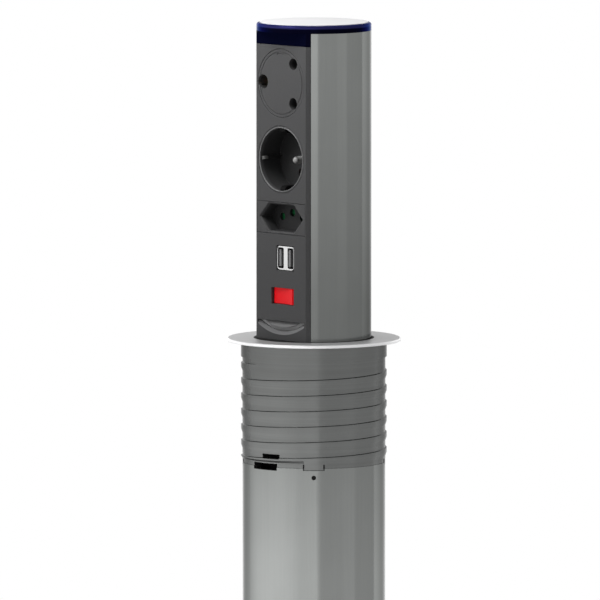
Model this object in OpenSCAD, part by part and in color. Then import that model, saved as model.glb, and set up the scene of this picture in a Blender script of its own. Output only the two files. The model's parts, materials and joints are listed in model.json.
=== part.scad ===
// Pop up desk socket
// A round socket tower with a flat front slides up out of a threaded housing that hangs in a desk hole.
// Millimetres, +Z up. The flat front faces -Y. The origin is the centre of the desk hole on the desk top.

/* [Tower] */
// Outer radius of the tower
tower_r = 37; // [36.6:0.1:37.2]
// Distance from the tower's axis to its flat front
flat_y = 28.5; // [28.2:0.1:28.8]
// Height of the top disc above the desk
tower_rise = 205.8; // [204:0.2:220]
// Wall of the aluminium profile
profile_wall = 2; // [1.7:0.1:2.2]
// Half angle of the front opening in the profile, in degrees
opening_angle = 45; // [44.5:0.1:45.5]
// Length of the profile below the collar
profile_depth = 0.6; // [0.4:0.1:12]
// Height of the front fascia below the desk top
fascia_depth = 20; // [17:0.5:30]
// Thickness of the fascia's front plate
plate_t = 2.6; // [2.2:0.1:3]
// Wall of the fascia's sides
side_wall = 2; // [1.6:0.1:2.4]

/* [Cap] */
// Height of the light ring above the profile, with the disc
cap_h = 5.3; // [4:0.1:6]
// Height of the ring's flat skirt over the fascia
skirt_h = 8.3; // [7:0.1:10]
// Radius of the top disc
disc_r = 34.8; // [34:0.1:35.2]
// Thickness of the top disc
disc_t = 2.1; // [1.6:0.1:2.4]
// Radius of the rounding on the ring's rim
rim_round = 1.6; // [0.8:0.1:2]
// Thickness of the light circuit board
led_board_t = 1.6; // [1:0.1:2]

/* [Sockets] */
// Height of the three round pin socket's centre
upper_z = 167.6; // [164:0.2:169]
// Height of the earth pin socket's centre
middle_z = 118.4; // [117:0.2:120]
// Height of the hexagonal socket's centre
hex_z = 80.6; // [80:0.1:81.4]
// Radius of the three round pin insert's face
upper_face_r = 21.85; // [21:0.05:21.9]
// Radius of the fine ring line in the three round pin insert's face
face_line_r = 20.2; // [19.8:0.1:20.6]
// Spacing of the live and neutral holes in the three round pin socket
upper_pitch = 25.4; // [25:0.1:26]
// Distance of the earth hole from the live and neutral line
upper_earth_reach = 28.6; // [28:0.1:29]
// Radius of the live and neutral holes in the three round pin socket
upper_hole_r = 3.75; // [3.6:0.05:4]
// Radius of the earth hole in the three round pin socket
upper_earth_hole_r = 4.6; // [4.5:0.05:4.8]
// Radius of the earth pin socket's recess
recess_r = 20.3; // [19.9:0.1:20.4]
// Depth of the earth pin socket's recess
recess_depth = 17.5; // [16:0.1:18.5]
// Width of the rounded lip round the recess
recess_lip = 1; // [0.7:0.1:1.1]
// Spacing of the pins in the earth pin and hexagonal sockets
pin_pitch = 19; // [18.6:0.1:19.4]
// Radius of the pin holes in the earth pin socket
middle_hole_r = 2.7; // [2.6:0.05:2.9]
// Radius of the fixed earth pin
earth_pin_r = 2.4; // [2.3:0.05:2.5]
// Distance of the fixed earth pin from the socket's centre
earth_pin_reach = 10; // [9.6:0.1:10.4]
// How far the fixed earth pin stays below the face
earth_pin_sunk = 2; // [1:0.1:4]
// Half width of the hexagonal recess from tip to tip
hex_tip_x = 20; // [19:0.1:20.2]
// Half width of the hexagonal recess along its flat edges
hex_flat_x = 11.8; // [11:0.1:12.4]
// Half height of the hexagonal recess
hex_half_h = 8.7; // [8.3:0.1:8.9]
// Width of the chamfer round the hexagonal recess
hex_lip = 1; // [0.6:0.1:1.2]
// Depth of the hexagonal recess
hex_depth = 10; // [9:0.1:10.4]
// Radius of the pin holes in the hexagonal socket
hex_hole_r = 2.5; // [2.3:0.05:2.6]
// Rise of the hexagonal socket's earth hole above its pin line
hex_earth_rise = 3; // [2.8:0.1:3.2]
// Height of the hexagonal module in the fascia
hex_module_h = 20.1; // [19.6:0.1:20.6]
// Half width of the hexagonal module in the fascia
hex_module_x = 23; // [22.6:0.1:23.1]
// Travel of the safety shutter
shutter_travel = 5.5; // [5.4:0.1:5.8]

/* [Charger, switch and latch] */
// Height of the charging ports' centre
usb_z = 55; // [54:0.2:56]
// Sideways place of the charging ports' centre
usb_x = 4; // [3:0.2:5]
// Half width of the double port shell
usb_half_w = 8; // [7.8:0.1:8.2]
// Half height of the double port shell
usb_half_h = 7.7; // [7.5:0.1:7.9]
// Radius of the port shell's corners
usb_corner_r = 1.5; // [0.8:0.1:2]
// Width of one port opening
port_w = 5.2; // [5:0.1:5.4]
// Height of one port opening
port_h = 12.6; // [12.4:0.1:12.8]
// Height of the switch's centre
rocker_z = 30.3; // [29:0.2:31]
// Sideways place of the switch's centre
rocker_x = 1.5; // [0.5:0.1:2.5]
// Radius of the rocker's ends about its pivot
rocker_end_r = 10.3; // [9.8:0.1:10.6]
// Half height of the rocker
rocker_half_h = 5; // [4.6:0.1:5.4]
// Tilt of the rocker to each side, in degrees
rocker_tilt = 5; // [4:0.5:5.5]
// Height of the release scoop's upper edge above the desk
scoop_top = 14.2; // [13:0.1:14.4]
// Height of the release scoop's lowest point above the desk
scoop_low = 5.4; // [5:0.1:6]
// Half width of the release scoop
scoop_half_w = 22.1; // [20:0.1:22.2]
// Radius of the scoop's curved lower edge
scoop_edge_r = 44; // [42:1:80]
// Width of the chamfer along the scoop's curved edge
scoop_lip = 2.4; // [1:0.1:2.6]
// Inward travel of the release latch
latch_travel = 5; // [4.8:0.1:5.2]
// Half width of the latch bolt
bolt_half_w = 8; // [6:0.5:9]

/* [Housing] */
// Outer radius of the desk flange
flange_r = 56; // [53:0.5:60]
// Width of the gap round the tower that the seal's lip fills
seal_lip_w = 1.9; // [1.6:0.1:2.2]
// Thickness of the desk flange
flange_t = 2; // [1.6:0.1:3]
// Radius of the plain spigot that fits the desk hole
spigot_r = 47; // [47:0.1:48]
// Length of the plain spigot
spigot_h = 10; // [6:0.5:14]
// Radius of the collar between the thread's ridges
thread_root_r = 46.1; // [45.9:0.1:46.4]
// Pitch of the collar thread
thread_pitch = 10; // [8:0.5:12]
// Height of the thread ridge
ridge_h = 6.8; // [4:0.1:7.4]
// Depth of the threaded part below the desk
thread_depth = 75.8; // [74:0.1:78]
// Outer radius of the hanging tube
tube_r = 46; // [45.8:0.1:46]
// Wall of the hanging tube
tube_wall = 1.6; // [1.4:0.1:1.8]
// Depth of the tube's upper edge below the thread
tube_top_depth = 2.6; // [2.2:0.1:5]
// Length of the collar's skirt inside the tube
skirt_depth = 13.6; // [12:0.1:16]
// Thickness of the ring at the tube's foot
end_ring_t = 10; // [8:0.5:14]
// Radius of the cable outlet in the tube's foot
outlet_r = 34; // [30:0.5:36]

/* [Fits] */
// Gap between the tower and what it slides in
slide_gap = 0.3; // [0.25:0.05:0.4]
// Gap between fixed pieces that plug together
seat_gap = 0.1; // [0.05:0.05:0.15]
// Gap of visible seams in the tower's front
seam = 0.3; // [0.15:0.05:0.3]
// Running clearance of a pivot in its hole
pivot_gap = 0.05; // [0.03:0.01:0.08]
// Distance that a moving stop keeps from its seat
stop_gap = 0.5; // [0.3:0.1:0.8]

/* [Hidden] */
$fn = 96;
over = 1;
bore_r = tower_r - profile_wall;
front = -flat_y;
plate_back = front + plate_t;
profile_top = tower_rise - cap_h;
tube_top = -thread_depth - tube_top_depth;
collar_bottom = tube_top - skirt_depth;
profile_bottom = collar_bottom - profile_depth;
skirt_bottom = profile_top - skirt_h;
fascia_top = skirt_bottom - seam;
fascia_bottom = -fascia_depth;

// Section of the fascia where it hooks behind the profile's edges
edge_gap_angle = 0.25;
lip_x = bore_r * sin(opening_angle);
lip_y = -bore_r * cos(opening_angle);
side_x = lip_x - 0.45;
inner_x = side_x - side_wall;
slab_back = plate_back + 0.9;
wing_y = [lip_y + 1.55, lip_y + 4.35];
wing_x = sqrt(bore_r * bore_r - wing_y[0] * wing_y[0]) - 0.4;
rail_t = 2;
rail_y = [wing_y[1] + 0.2, wing_y[1] + 0.2 + rail_t];
rail_x = wing_x - 1;
rail_end = sqrt(pow((bore_r + tower_r) / 2, 2) - pow(rail_y[0] + rail_t / 2, 2));

// Screw ports inside the profile
port_angles = [0, 72, -72];
screw_port_r = 3.2;
screw_port_at = bore_r - 1.8;
screw_hole_r = 1.5;
screw_r = screw_hole_r - seat_gap;

// Inserts and their screws
boss_r = 2.6;
boss_h = 7.7;
boss_end = plate_back + boss_h;
boss_at = 19.2;
pilot_r = 1.25;
insert_screw_r = pilot_r - seat_gap;
back_plate_t = 2.6;
back_plate_y = [boss_end, boss_end + back_plate_t];
back_plate_half = boss_at + boss_r;
insert_body_r = 21;
screw_head_t = 1.6;
screw_tip_gap = 0.5;
pilot_y = plate_back + 0.5;
long_pilot_y = plate_back + 5;
hex_pilot_depth = 1.5;
boss_root = plate_back - plate_t / 4;
face_sink = 0.1;
upper_circle_r = (pow(upper_earth_reach, 2) + pow(upper_pitch / 2, 2)) / (2 * upper_earth_reach);
upper_x = upper_earth_reach - upper_circle_r;
upper_earth_x = -upper_circle_r;
face_line_w = 0.4;
face_line_floor = front + face_sink + 0.4;
top_mark_half_w = 4;
top_mark_r = face_line_r - 0.8;
top_mark_h = 0.9;
recess_floor = front + recess_depth;
middle_floor_t = 2.6;
middle_back = recess_floor + middle_floor_t;
middle_face_r = recess_r + recess_lip + 0.15;
middle_body_r = recess_r + 1.5;
notch_half_w = 2.6;
notch_reach = recess_r + 0.5;
notch_floor = recess_floor - 3;
clip_x = [-recess_r + 0.4, -recess_r + 1.3];
clip_half_w = 1;
clip_front = front + 1.4;
clip_bow = 0.8;
clip_bow_len = 5.2;
clip_bow_r = (pow(clip_bow_len / 2, 2) + pow(clip_bow, 2)) / (2 * clip_bow);
hex_floor = front + hex_depth;
hex_floor_t = 2;
hex_body_x = 21.6;
hex_body_h = hex_module_h - 1.4;
cavity_t = 2.4;
cavity_half_w = hex_body_x - 1.3;
cavity_z = [hex_z - 6, hex_z + 8];
cavity_y = [hex_floor + hex_floor_t, hex_floor + hex_floor_t + cavity_t];
hex_cover_t = 2;
hex_back = cavity_y[1] + hex_cover_t;
hex_ear_t = 2;
hex_ear_h = 15.2;
hex_screw_at = [17, 12.8];
shutter_edge = 3.5;
shutter_drop = 4.4;
shutter_rise = 6.6;
shutter_z = [hex_z - shutter_drop, hex_z + shutter_rise];
shutter_gap = 0.4;

// Contact sleeves and the bars behind them
bar_t = 1.2;
bar_w = 3;
bar_back = 17.4;
bar_step = 5;
live_bar_y = [bar_back, bar_back + bar_t];
earth_bar_y = [bar_back + bar_step, bar_back + bar_step + bar_t];
spine_x = 22;
tail_r = 1.5;
sleeve_wall = 1;
sleeve_len = 17;
sleeve_cap = 1.5;
sleeve_step = 0.15;
carrier_wall = 1.4;
carrier_len = sleeve_len + 1;
upper_sleeve_sunk = 6;
upper_sleeve_y = plate_back + upper_sleeve_sunk;
upper_sleeve_r = upper_hole_r - sleeve_step;
upper_earth_sleeve_r = upper_earth_hole_r - sleeve_step;
middle_sleeve_r = middle_hole_r - sleeve_step;
hex_sleeve_r = hex_hole_r - sleeve_step;

// Charger
board_t = 1.6;
shell_sunk = 0.3;
shell_front = front + shell_sunk;
shell_depth = 14;
board_y = [shell_front + shell_depth, shell_front + shell_depth + board_t];
board_half_w = spine_x + bar_w / 2;
board_half_h = 10.2;
board_boss_x = 18.5;
board_boss_z = 7.4;
shell_wall = 1;
port_at = usb_half_w - shell_wall - port_w / 2;
tongue_t = 1.9;
tongue_side = 0.6;
tongue_end = 0.9;
tongue_sunk = 0.5;
coil_x = [-15, -1];
coil_half_h = 7;
coil_h = 11;
can_x = 8;
can_r = 4;
can_h = 12;
lead_rise = 3;

// Switch
pivot_y = front + 5.15;
pivot_r = 1.4;
rocker_front = -3.3;
rocker_dip = 1;
rocker_side = -0.5;
rocker_keel = 3;
switch_gap = 0.4;
switch_wall = 1.8;
rocker_room = 6;
switch_depth = 16;
switch_floor = pivot_y + rocker_room;
switch_back = pivot_y + switch_depth;
rocker_slot_x = rocker_end_r + switch_gap;
rocker_slot_h = rocker_half_h + switch_gap;
switch_tail_x = rocker_x - 7;
switch_tail_dz = 3.8;

// Release latch
latch_gap = 0.35;
latch_plate_y = [plate_back + 0.5, plate_back + 3.5];
bolt_z = [-13.4, -7.4];
bolt_reach = 4.3;
bolt_chamfer = 3;
lip_depth = 1.6;
brow_h = 2;
brow_depth = 1.9;
brow_z = scoop_low + scoop_lip + latch_gap + brow_h;
lean_depth = 1.7;
stem_half_w = bolt_half_w + 1;
stem_top = brow_z + 1;
spring_room = 5.4;
bracket_t = 2.5;
bracket_front = latch_plate_y[1] + latch_travel + spring_room;
bracket_y = [bracket_front, bracket_front + bracket_t];
bracket_boss_x = 18;
bracket_z = -2;
bracket_half_h = 4;
spring_r = 3;
spring_wall = 0.8;
spring_peg_h = 3;

// Cap
disc_proud = 0.3;
disc_floor = tower_rise - disc_t - seat_gap;
cap_plug_h = 5;
cap_plug_wall = 2;
cap_head_t = 1.5;
lamp_t = 1;
lamp_half_w = 1.2;

// Tower foot
foot_h = 9.9;
base_head_t = 2.6;
port_screw_l = 12;
foot_r = tube_r - tube_wall - 1;
foot_z = [profile_bottom - foot_h, profile_bottom];
glide_groove_z = [foot_z[0] + 3, foot_z[0] + 7];
glide_groove_r = foot_r - 1.4;
plug_r = 29;
plug_top = profile_bottom + 8.6;
gland_r = 8;
cable_r = 4.6;
gland_cap_h = 15.5;
gland_cap_r = 10.5;
gland_hex_h = 5;
gland_neck = 1;
gland_taper = 0.8;
nut_h = 4.5;
nut_r = 11.5;
gland_bottom = foot_z[0] - gland_cap_h;
gland_top = plug_top + nut_h + 1;
block_y = [13, 24.5];
block_half_w = 24;
block_h = 26;
block_top = plug_top + block_h;
terminal_r = 2.6;
terminal_depth = 3;
terminal_sunk = 0.5;
terminal_x = spine_x - 6;
terminal_drop = 8;

// Housing
flange_hole_r = tower_r + seal_lip_w;
flange_edge = min(1.2, flange_t * 0.6);
thread_crest_r = spigot_r;
ridge_steps = 60;
ridge_sink = 0.3;
ridge_flank = 0.6;
ridge_slope = 3.6;
ridge_runout = 8;
ridge_floor = -thread_depth + ridge_flank / 6;
line_angle = 47;
line_z = -thread_depth + 4.8;
thread_top = -spigot_h - 2;
bush_r = 41;
lower_bore_r = bush_r - 1.6;
neck_r = bush_r + 2.1;
neck_h = 8;
seal_t = 2;
bush_z = [-22, -seal_t - seat_gap];
tube_bore_r = tube_r - tube_wall;
travel = tower_rise - cap_h - flange_t - slide_gap;
end_ring_top = foot_z[0] - travel - stop_gap;
end_ring_z = [end_ring_top - end_ring_t, end_ring_top];
end_lip_h = 3;
tube_foot = end_ring_z[0] + end_lip_h;
tab_w = 12.2;
tab_gap = 0.9;
tab_drop = 1;
tab_angles = [47.8, 137.8, 227.8, 317.8];
fixing_z = tube_top - 5.9;
fixing_r = 1.45;
fixing_sunk = 0.6;
shoulder_r = tube_r - 0.4;
window_w = 13.6;
window_h = 3;
window_angle = 10.7;
window_z = -thread_depth + 4.4;
notch_w = 20.4;
notch_drop = 1.9;
notch_rise = 2.4;
notch_angle = 3.8;
rivet_angles = [0, 120, 240];
rivet_r = 1.6;
rivet_z = end_ring_top - end_ring_t / 3;
rivet_head_r = 2.8;
rivet_head_t = 0.6;

// Plain shapes: x, y and z are [from, to] pairs
module block(x, y, z) {
    translate([x[0], y[0], z[0]]) cube([x[1] - x[0], y[1] - y[0], z[1] - z[0]]);
}

module rod_z(r, z, at = [0, 0]) {
    translate([at[0], at[1], z[0]]) cylinder(h = z[1] - z[0], r = r);
}

// A rod along Y, placed by its x and z
module rod_y(r, y, at = [0, 0]) {
    translate([at[0], y[0], at[1]]) rotate([-90, 0, 0]) cylinder(h = y[1] - y[0], r = r);
}

// A block whose corners along Y are rounded
module rounded_block_y(x, y, z, r) {
    block([x[0] + r, x[1] - r], y, z);
    block(x, y, [z[0] + r, z[1] - r]);
    for (cx = [x[0] + r, x[1] - r]) {
        for (cz = [z[0] + r, z[1] - r]) {
            rod_y(r, y, [cx, cz]);
        }
    }
}

module tube_z(r_out, r_in, z, at = [0, 0]) {
    difference() {
        rod_z(r_out, z, at);
        rod_z(r_in, [z[0] - over, z[1] + over], at);
    }
}

module tube_y(r_out, r_in, y, at = [0, 0]) {
    difference() {
        rod_y(r_out, y, at);
        rod_y(r_in, [y[0] - over, y[1] + over], at);
    }
}

// A wedge from the axis towards the front
module front_wedge(half_angle, z) {
    reach = 2 * tower_r;
    spread = reach * tan(half_angle);
    outline = [[0, 0], [-spread, -reach], [spread, -reach]];
    translate([0, 0, z[0]]) linear_extrude(z[1] - z[0]) polygon(outline);
}

// Turns a child that points to the front round to an angle, counted from the front towards +X
module at_angle(angle) {
    rotate([0, 0, angle]) children();
}

// The tower's outline, grown by a gap, for what it slides in
module tower_space(gap, z) {
    difference() {
        rod_z(tower_r + gap, z);
        block([-tower_r - over, tower_r + over], [-2 * tower_r, front - gap], [z[0] - over, z[1] + over]);
    }
}

// The strip that closes the profile's front and hooks behind its edges
module front_section(z) {
    difference() {
        union() {
            intersection() {
                rod_z(tower_r, z);
                block([-tower_r, tower_r], [front, slab_back], z);
                front_wedge(opening_angle - edge_gap_angle, z);
            }
            block([-side_x, side_x], [boss_root, wing_y[1]], z);
            block([-wing_x, wing_x], wing_y, z);
        }
        block([-inner_x, inner_x], [plate_back, wing_y[1] + over], [z[0] - over, z[1] + over]);
    }
}

module insert_corners(z) {
    for (sx = [-1, 1]) {
        for (sz = [-1, 1]) {
            translate([sx * boss_at, 0, z + sz * boss_at]) children();
        }
    }
}

module hex_prism(y) {
    translate([0, y[1], hex_z]) rotate([90, 0, 0]) linear_extrude(y[1] - y[0]) polygon(hex_corner_points(0));
}

// The hexagon's corners, grown on all sides
function hex_corner_points(grow) =
    let (edge_x = hex_tip_x - hex_flat_x, slope = norm([edge_x, hex_half_h]))
    let (tip = hex_tip_x + grow * slope / hex_half_h)
    let (flat = hex_flat_x + grow * (slope - edge_x) / hex_half_h)
    let (high = hex_half_h + grow)
    [[-tip, 0], [-flat, high], [flat, high], [tip, 0], [flat, -high], [-flat, -high]];

// The chamfer's cut, from the face down to the recess's wall
module hex_lip_cut() {
    rings = [[hex_lip + over, front - over], [-over, front + hex_lip + over]];
    points = [for (ring = rings) for (p = hex_corner_points(ring[0])) [p[0], ring[1], hex_z + p[1]]];
    sides = [for (i = [0:5]) let (j = (i + 1) % 6) [i + 6, j + 6, j, i]];
    polyhedron(points, concat(sides, [[0, 1, 2, 3, 4, 5]], [[11, 10, 9, 8, 7, 6]]));
}

// The scoop's opening inside its chamfer: flat above, curved below
module scoop_outline(inset, y, rise = 0) {
    intersection() {
        block([inset - scoop_half_w, scoop_half_w - inset], y, [0, scoop_top - inset]);
        rod_y(scoop_edge_r - scoop_lip - inset - rise, y, [0, scoop_low + scoop_edge_r]);
    }
}

// The chamfer's cut along the scoop's curved edge
module scoop_lip_cut() {
    slope = scoop_lip / lip_depth;
    intersection() {
        block([-scoop_half_w, scoop_half_w], [front - over, front + lip_depth], [0, scoop_top]);
        translate([0, front - over, scoop_low + scoop_edge_r]) rotate([-90, 0, 0])
            cylinder(h = lip_depth + over, r1 = scoop_edge_r + over * slope, r2 = scoop_edge_r - scoop_lip);
    }
}

// A contact sleeve with a tail that reaches back to its bar
module sleeve(at, pin_r, y0, tail_end) {
    y1 = y0 + sleeve_len;
    difference() {
        rod_y(pin_r + sleeve_wall, [y0, y1], at);
        rod_y(pin_r, [y0 - over, y1 - sleeve_cap], at);
    }
    rod_y(tail_r, [y1, tail_end], at);
}

// Places of the contacts, as [x, z]
upper_live = [upper_x, upper_z + upper_pitch / 2];
upper_neutral = [upper_x, upper_z - upper_pitch / 2];
upper_earth = [upper_earth_x, upper_z];
middle_live = [0, middle_z + pin_pitch / 2];
middle_neutral = [0, middle_z - pin_pitch / 2];
middle_earth = [earth_pin_reach, middle_z];
middle_clip = [clip_x[0], middle_z];
hex_live = [-pin_pitch / 2, hex_z];
hex_neutral = [pin_pitch / 2, hex_z];
hex_earth = [0, hex_z + hex_earth_rise];

// Housing

module desk_flange() {
    color("silver") difference() {
        union() {
            rotate_extrude() {
                square([flange_r - flange_edge, flange_t]);
                square([flange_r, flange_t - flange_edge]);
                intersection() {
                    translate([flange_r - flange_edge, flange_t - flange_edge]) circle(r = flange_edge);
                    square([flange_r, flange_t]);
                }
            }
            rod_z(neck_r - seat_gap, [-neck_h, flange_t / 2]);
        }
        rod_z(flange_hole_r, [-over, flange_t + over]);
        rod_z(bush_r + seat_gap, [-neck_h - over, 0]);
        tube_z(spigot_r + seat_gap, neck_r - seat_gap, [-over, seat_gap]);
    }
}

module wiper_seal() {
    color("black") difference() {
        union() {
            rod_z(flange_hole_r - seat_gap / 2, [-seal_t, flange_t]);
            rod_z(bush_r - seat_gap, [-seal_t, -seat_gap]);
        }
        tower_space(slide_gap, [-seal_t - over, flange_t + over]);
    }
}

// The latch bolt runs in a channel and stops under the channel's end when the tower is up
module guide_bush() {
    channel_y = front - bolt_reach - stop_gap;
    color("black") difference() {
        rod_z(bush_r - seat_gap, bush_z);
        tower_space(slide_gap, [bush_z[0] - over, bush_z[1] + over]);
        block([-bolt_half_w - stop_gap, bolt_half_w + stop_gap], [channel_y, 0],
            [bush_z[0] - over, bolt_z[1] + stop_gap]);
    }
}

// The thread's ridge as one closed strip of triangles that winds round the collar
function ridge_angle(i) = 360 * i / ridge_steps;
function ridge_line(i) = -thread_depth + ridge_flank + thread_pitch * i / ridge_steps;
ridge_count = floor((thread_top + thread_depth - ridge_flank) / thread_pitch * ridge_steps);
ridge_start = line_angle - (line_z + thread_depth - ridge_flank) / thread_pitch * 360;
function ridge_ring(i) =
    let (high = ridge_line(i), low = max(high - ridge_h, ridge_floor))
    let (upper = min(ridge_flank, (high - low) / 3), lower = min(ridge_slope, (high - low) / 2))
    let (angle = ridge_start + ridge_angle(i), c = sin(angle), s = -cos(angle))
    let (inner = thread_root_r - ridge_sink, fade = min(1, (ridge_count - i + 1) / ridge_runout))
    let (crest = inner + (thread_crest_r - inner) * fade)
    [[inner * c, inner * s, low], [crest * c, crest * s, low + lower],
        [crest * c, crest * s, high - upper], [inner * c, inner * s, high]];

module thread_ridge() {
    points = [for (i = [0:ridge_count]) each ridge_ring(i)];
    sides = [for (i = [0:ridge_count - 1]) for (k = [0:3])
        let (a = 4 * i + k, b = 4 * i + (k + 1) % 4)
        each [[a, b, b + 4], [a, b + 4, a + 4]]];
    last = 4 * ridge_count;
    ends = [[3, 2, 1], [3, 1, 0], [last, last + 1, last + 2], [last, last + 2, last + 3]];
    polyhedron(points, concat(sides, ends));
}

// The collar between the ridges, with the ridge's own steps round it
module thread_root() {
    outline = [for (i = [0:ridge_steps - 1]) let (angle = ridge_start + ridge_angle(i))
        [thread_root_r * sin(angle), -thread_root_r * cos(angle)]];
    translate([0, 0, -thread_depth]) linear_extrude(thread_depth - spigot_h / 2) polygon(outline);
}

module threaded_collar() {
    color("dimgray") difference() {
        union() {
            rod_z(spigot_r, [-spigot_h, 0]);
            thread_root();
            rod_z(shoulder_r, [tube_top, -thread_depth / 2]);
            rod_z(tube_bore_r - seat_gap, [collar_bottom, -thread_depth / 2]);
            for (angle = tab_angles) {
                at_angle(angle) collar_tab();
            }
            thread_ridge();
        }
        rod_z(neck_r, [-neck_h - seat_gap, over]);
        rod_z(bush_r, [bush_z[0], over]);
        rod_z(lower_bore_r, [collar_bottom - over, over]);
        at_angle(window_angle) block([-window_w / 2, window_w / 2], [-2 * tube_r, 0],
            [window_z - window_h / 2, window_z + window_h / 2]);
        at_angle(notch_angle) block([-notch_w / 2, notch_w / 2], [-2 * tube_r, 0],
            [tube_top - notch_drop, tube_top + notch_rise]);
        for (angle = tab_angles) {
            at_angle(angle) rod_y(fixing_r, [-2 * tube_r, 0], [0, fixing_z]);
        }
    }
}

module collar_tab() {
    z = [tube_top - tab_drop, -thread_depth + over / 2];
    intersection() {
        tube_z(tube_r, tube_bore_r - 2 * seat_gap, z);
        block([-tab_w / 2, tab_w / 2], [-2 * tube_r, 0], z);
    }
}

module outer_tube() {
    color("lightgray") difference() {
        tube_z(tube_r, tube_bore_r, [tube_foot, tube_top]);
        for (angle = tab_angles) {
            at_angle(angle) block([-tab_w / 2 - tab_gap, tab_w / 2 + tab_gap], [-2 * tube_r, 0],
                [tube_top - tab_drop - seam, tube_top + over]);
            at_angle(angle) rod_y(fixing_r, [-2 * tube_r, 0], [0, fixing_z]);
        }
        at_angle(notch_angle) block([-notch_w / 2, notch_w / 2], [-2 * tube_r, 0],
            [tube_top - notch_drop, tube_top + over]);
        for (angle = rivet_angles) {
            at_angle(angle) rod_y(rivet_r, [-2 * tube_r, 0], [0, rivet_z]);
        }
    }
}

module collar_screws() {
    color("black") for (angle = tab_angles) {
        at_angle(angle) rod_y(fixing_r - seat_gap, [-tube_r + fixing_sunk, -lower_bore_r - fixing_sunk],
            [0, fixing_z]);
    }
}

module tube_end_ring() {
    color("dimgray") difference() {
        union() {
            rod_z(tube_bore_r - seat_gap, end_ring_z);
            rod_z(tube_r, [end_ring_z[0], tube_foot]);
        }
        rod_z(outlet_r, [end_ring_z[0] - over, end_ring_z[1] + over]);
        for (angle = rivet_angles) {
            at_angle(angle) rod_y(rivet_r, [-2 * tube_r, 0], [0, rivet_z]);
        }
    }
}

module end_ring_rivets() {
    head_y = [-tube_r - seat_gap - rivet_head_t, -tube_r - seat_gap];
    color("silver") for (angle = rivet_angles) {
        at_angle(angle) {
            rod_y(rivet_r - seat_gap, [head_y[0], -outlet_r - over], [0, rivet_z]);
            rod_y(rivet_head_r, head_y, [0, rivet_z]);
        }
    }
}

// Tower shell

module tower_profile() {
    z = [profile_bottom, profile_top];
    color("silver") difference() {
        union() {
            difference() {
                tube_z(tower_r, bore_r, z);
                front_wedge(opening_angle, [z[0] - over, z[1] + over]);
            }
            for (side = [-1, 1]) {
                ends = [side * rail_x, side * rail_end];
                block([min(ends), max(ends)], rail_y, z);
            }
            screw_ports() rod_z(screw_port_r, z);
        }
        screw_ports() rod_z(screw_hole_r, [z[0] - over, z[1] + over]);
    }
}

module screw_ports() {
    for (angle = port_angles) {
        rotate([0, 0, angle]) translate([0, screw_port_at, 0]) children();
    }
}

module front_fascia() {
    color("dimgray") difference() {
        union() {
            front_section([fascia_bottom, fascia_top]);
            for (z = [upper_z, middle_z]) {
                insert_corners(z) rod_y(boss_r, [boss_root, boss_end]);
            }
            board_corners() rod_y(boss_r, [boss_root, board_y[0]]);
            bracket_ends() rod_y(boss_r, [boss_root, bracket_y[0]]);
        }
        rod_y(upper_face_r + seam, [front - over, plate_back + over / 2], [0, upper_z]);
        rod_y(middle_face_r + seam, [front - over, plate_back + over / 2], [0, middle_z]);
        block([-hex_module_x - seam, hex_module_x + seam], [front - over, plate_back],
            [hex_z - hex_module_h / 2 - seam, hex_z + hex_module_h / 2 + seam]);
        block([usb_x - usb_half_w - seam, usb_x + usb_half_w + seam], [front - over, plate_back + over / 2],
            [usb_z - usb_half_h - seam, usb_z + usb_half_h + seam]);
        block([rocker_x - rocker_slot_x, rocker_x + rocker_slot_x], [front - over, plate_back + over / 2],
            [rocker_z - rocker_slot_h, rocker_z + rocker_slot_h]);
        scoop_outline(0, [front - over, plate_back + over / 2]);
        scoop_lip_cut();
        block([-bolt_half_w - latch_gap, bolt_half_w + latch_gap], [front - over, plate_back + over / 2],
            [bolt_z[0] - latch_gap, bolt_z[1] + latch_gap]);
        for (z = [upper_z, middle_z]) {
            insert_corners(z) rod_y(pilot_r, [pilot_y, boss_end + over]);
        }
        hex_corners() rod_y(pilot_r, [plate_back - hex_pilot_depth, plate_back + over / 2]);
        board_corners() rod_y(pilot_r, [long_pilot_y, board_y[0] + over]);
        bracket_ends() rod_y(pilot_r, [long_pilot_y, bracket_y[0] + over]);
    }
}

module terminal_cover() {
    color("dimgray") front_section([profile_bottom, fascia_bottom - seam]);
}

module hex_corners() {
    for (sx = [-1, 1]) {
        for (sz = [-1, 1]) {
            translate([sx * hex_screw_at[0], 0, hex_z + sz * hex_screw_at[1]]) children();
        }
    }
}

module board_corners() {
    for (sx = [-1, 1]) {
        for (sz = [-1, 1]) {
            translate([sx * board_boss_x, 0, usb_z + sz * board_boss_z]) children();
        }
    }
}

module bracket_ends() {
    for (sx = [-1, 1]) {
        translate([sx * bracket_boss_x, 0, bracket_z]) children();
    }
}

// Sockets

module insert_back_plate(z) {
    difference() {
        block([-back_plate_half, back_plate_half], back_plate_y,
            [z - back_plate_half, z + back_plate_half]);
        insert_corners(z) rod_y(pilot_r, [back_plate_y[0] - over, back_plate_y[1] + over]);
    }
}

// A post round a contact sleeve, rooted in the plate before it, and the room for the sleeve in it
module carrier(at, pin_r, y0, root) {
    rod_y(pin_r + sleeve_wall + seat_gap + carrier_wall, [y0 - root, y0 + carrier_len], at);
}

module chamber(at, pin_r, y0) {
    rod_y(pin_r + sleeve_wall + seat_gap, [y0 - seat_gap, y0 + carrier_len + over], at);
}

// The fine ring line in the face and the short mark under its top
module face_lines() {
    y = [front - over, face_line_floor];
    tube_y(face_line_r, face_line_r - face_line_w, y, [0, upper_z]);
    intersection() {
        tube_y(top_mark_r, top_mark_r - top_mark_h, y, [0, upper_z]);
        block([-top_mark_half_w, top_mark_half_w], y, [upper_z, upper_z + top_mark_r]);
    }
}

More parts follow.
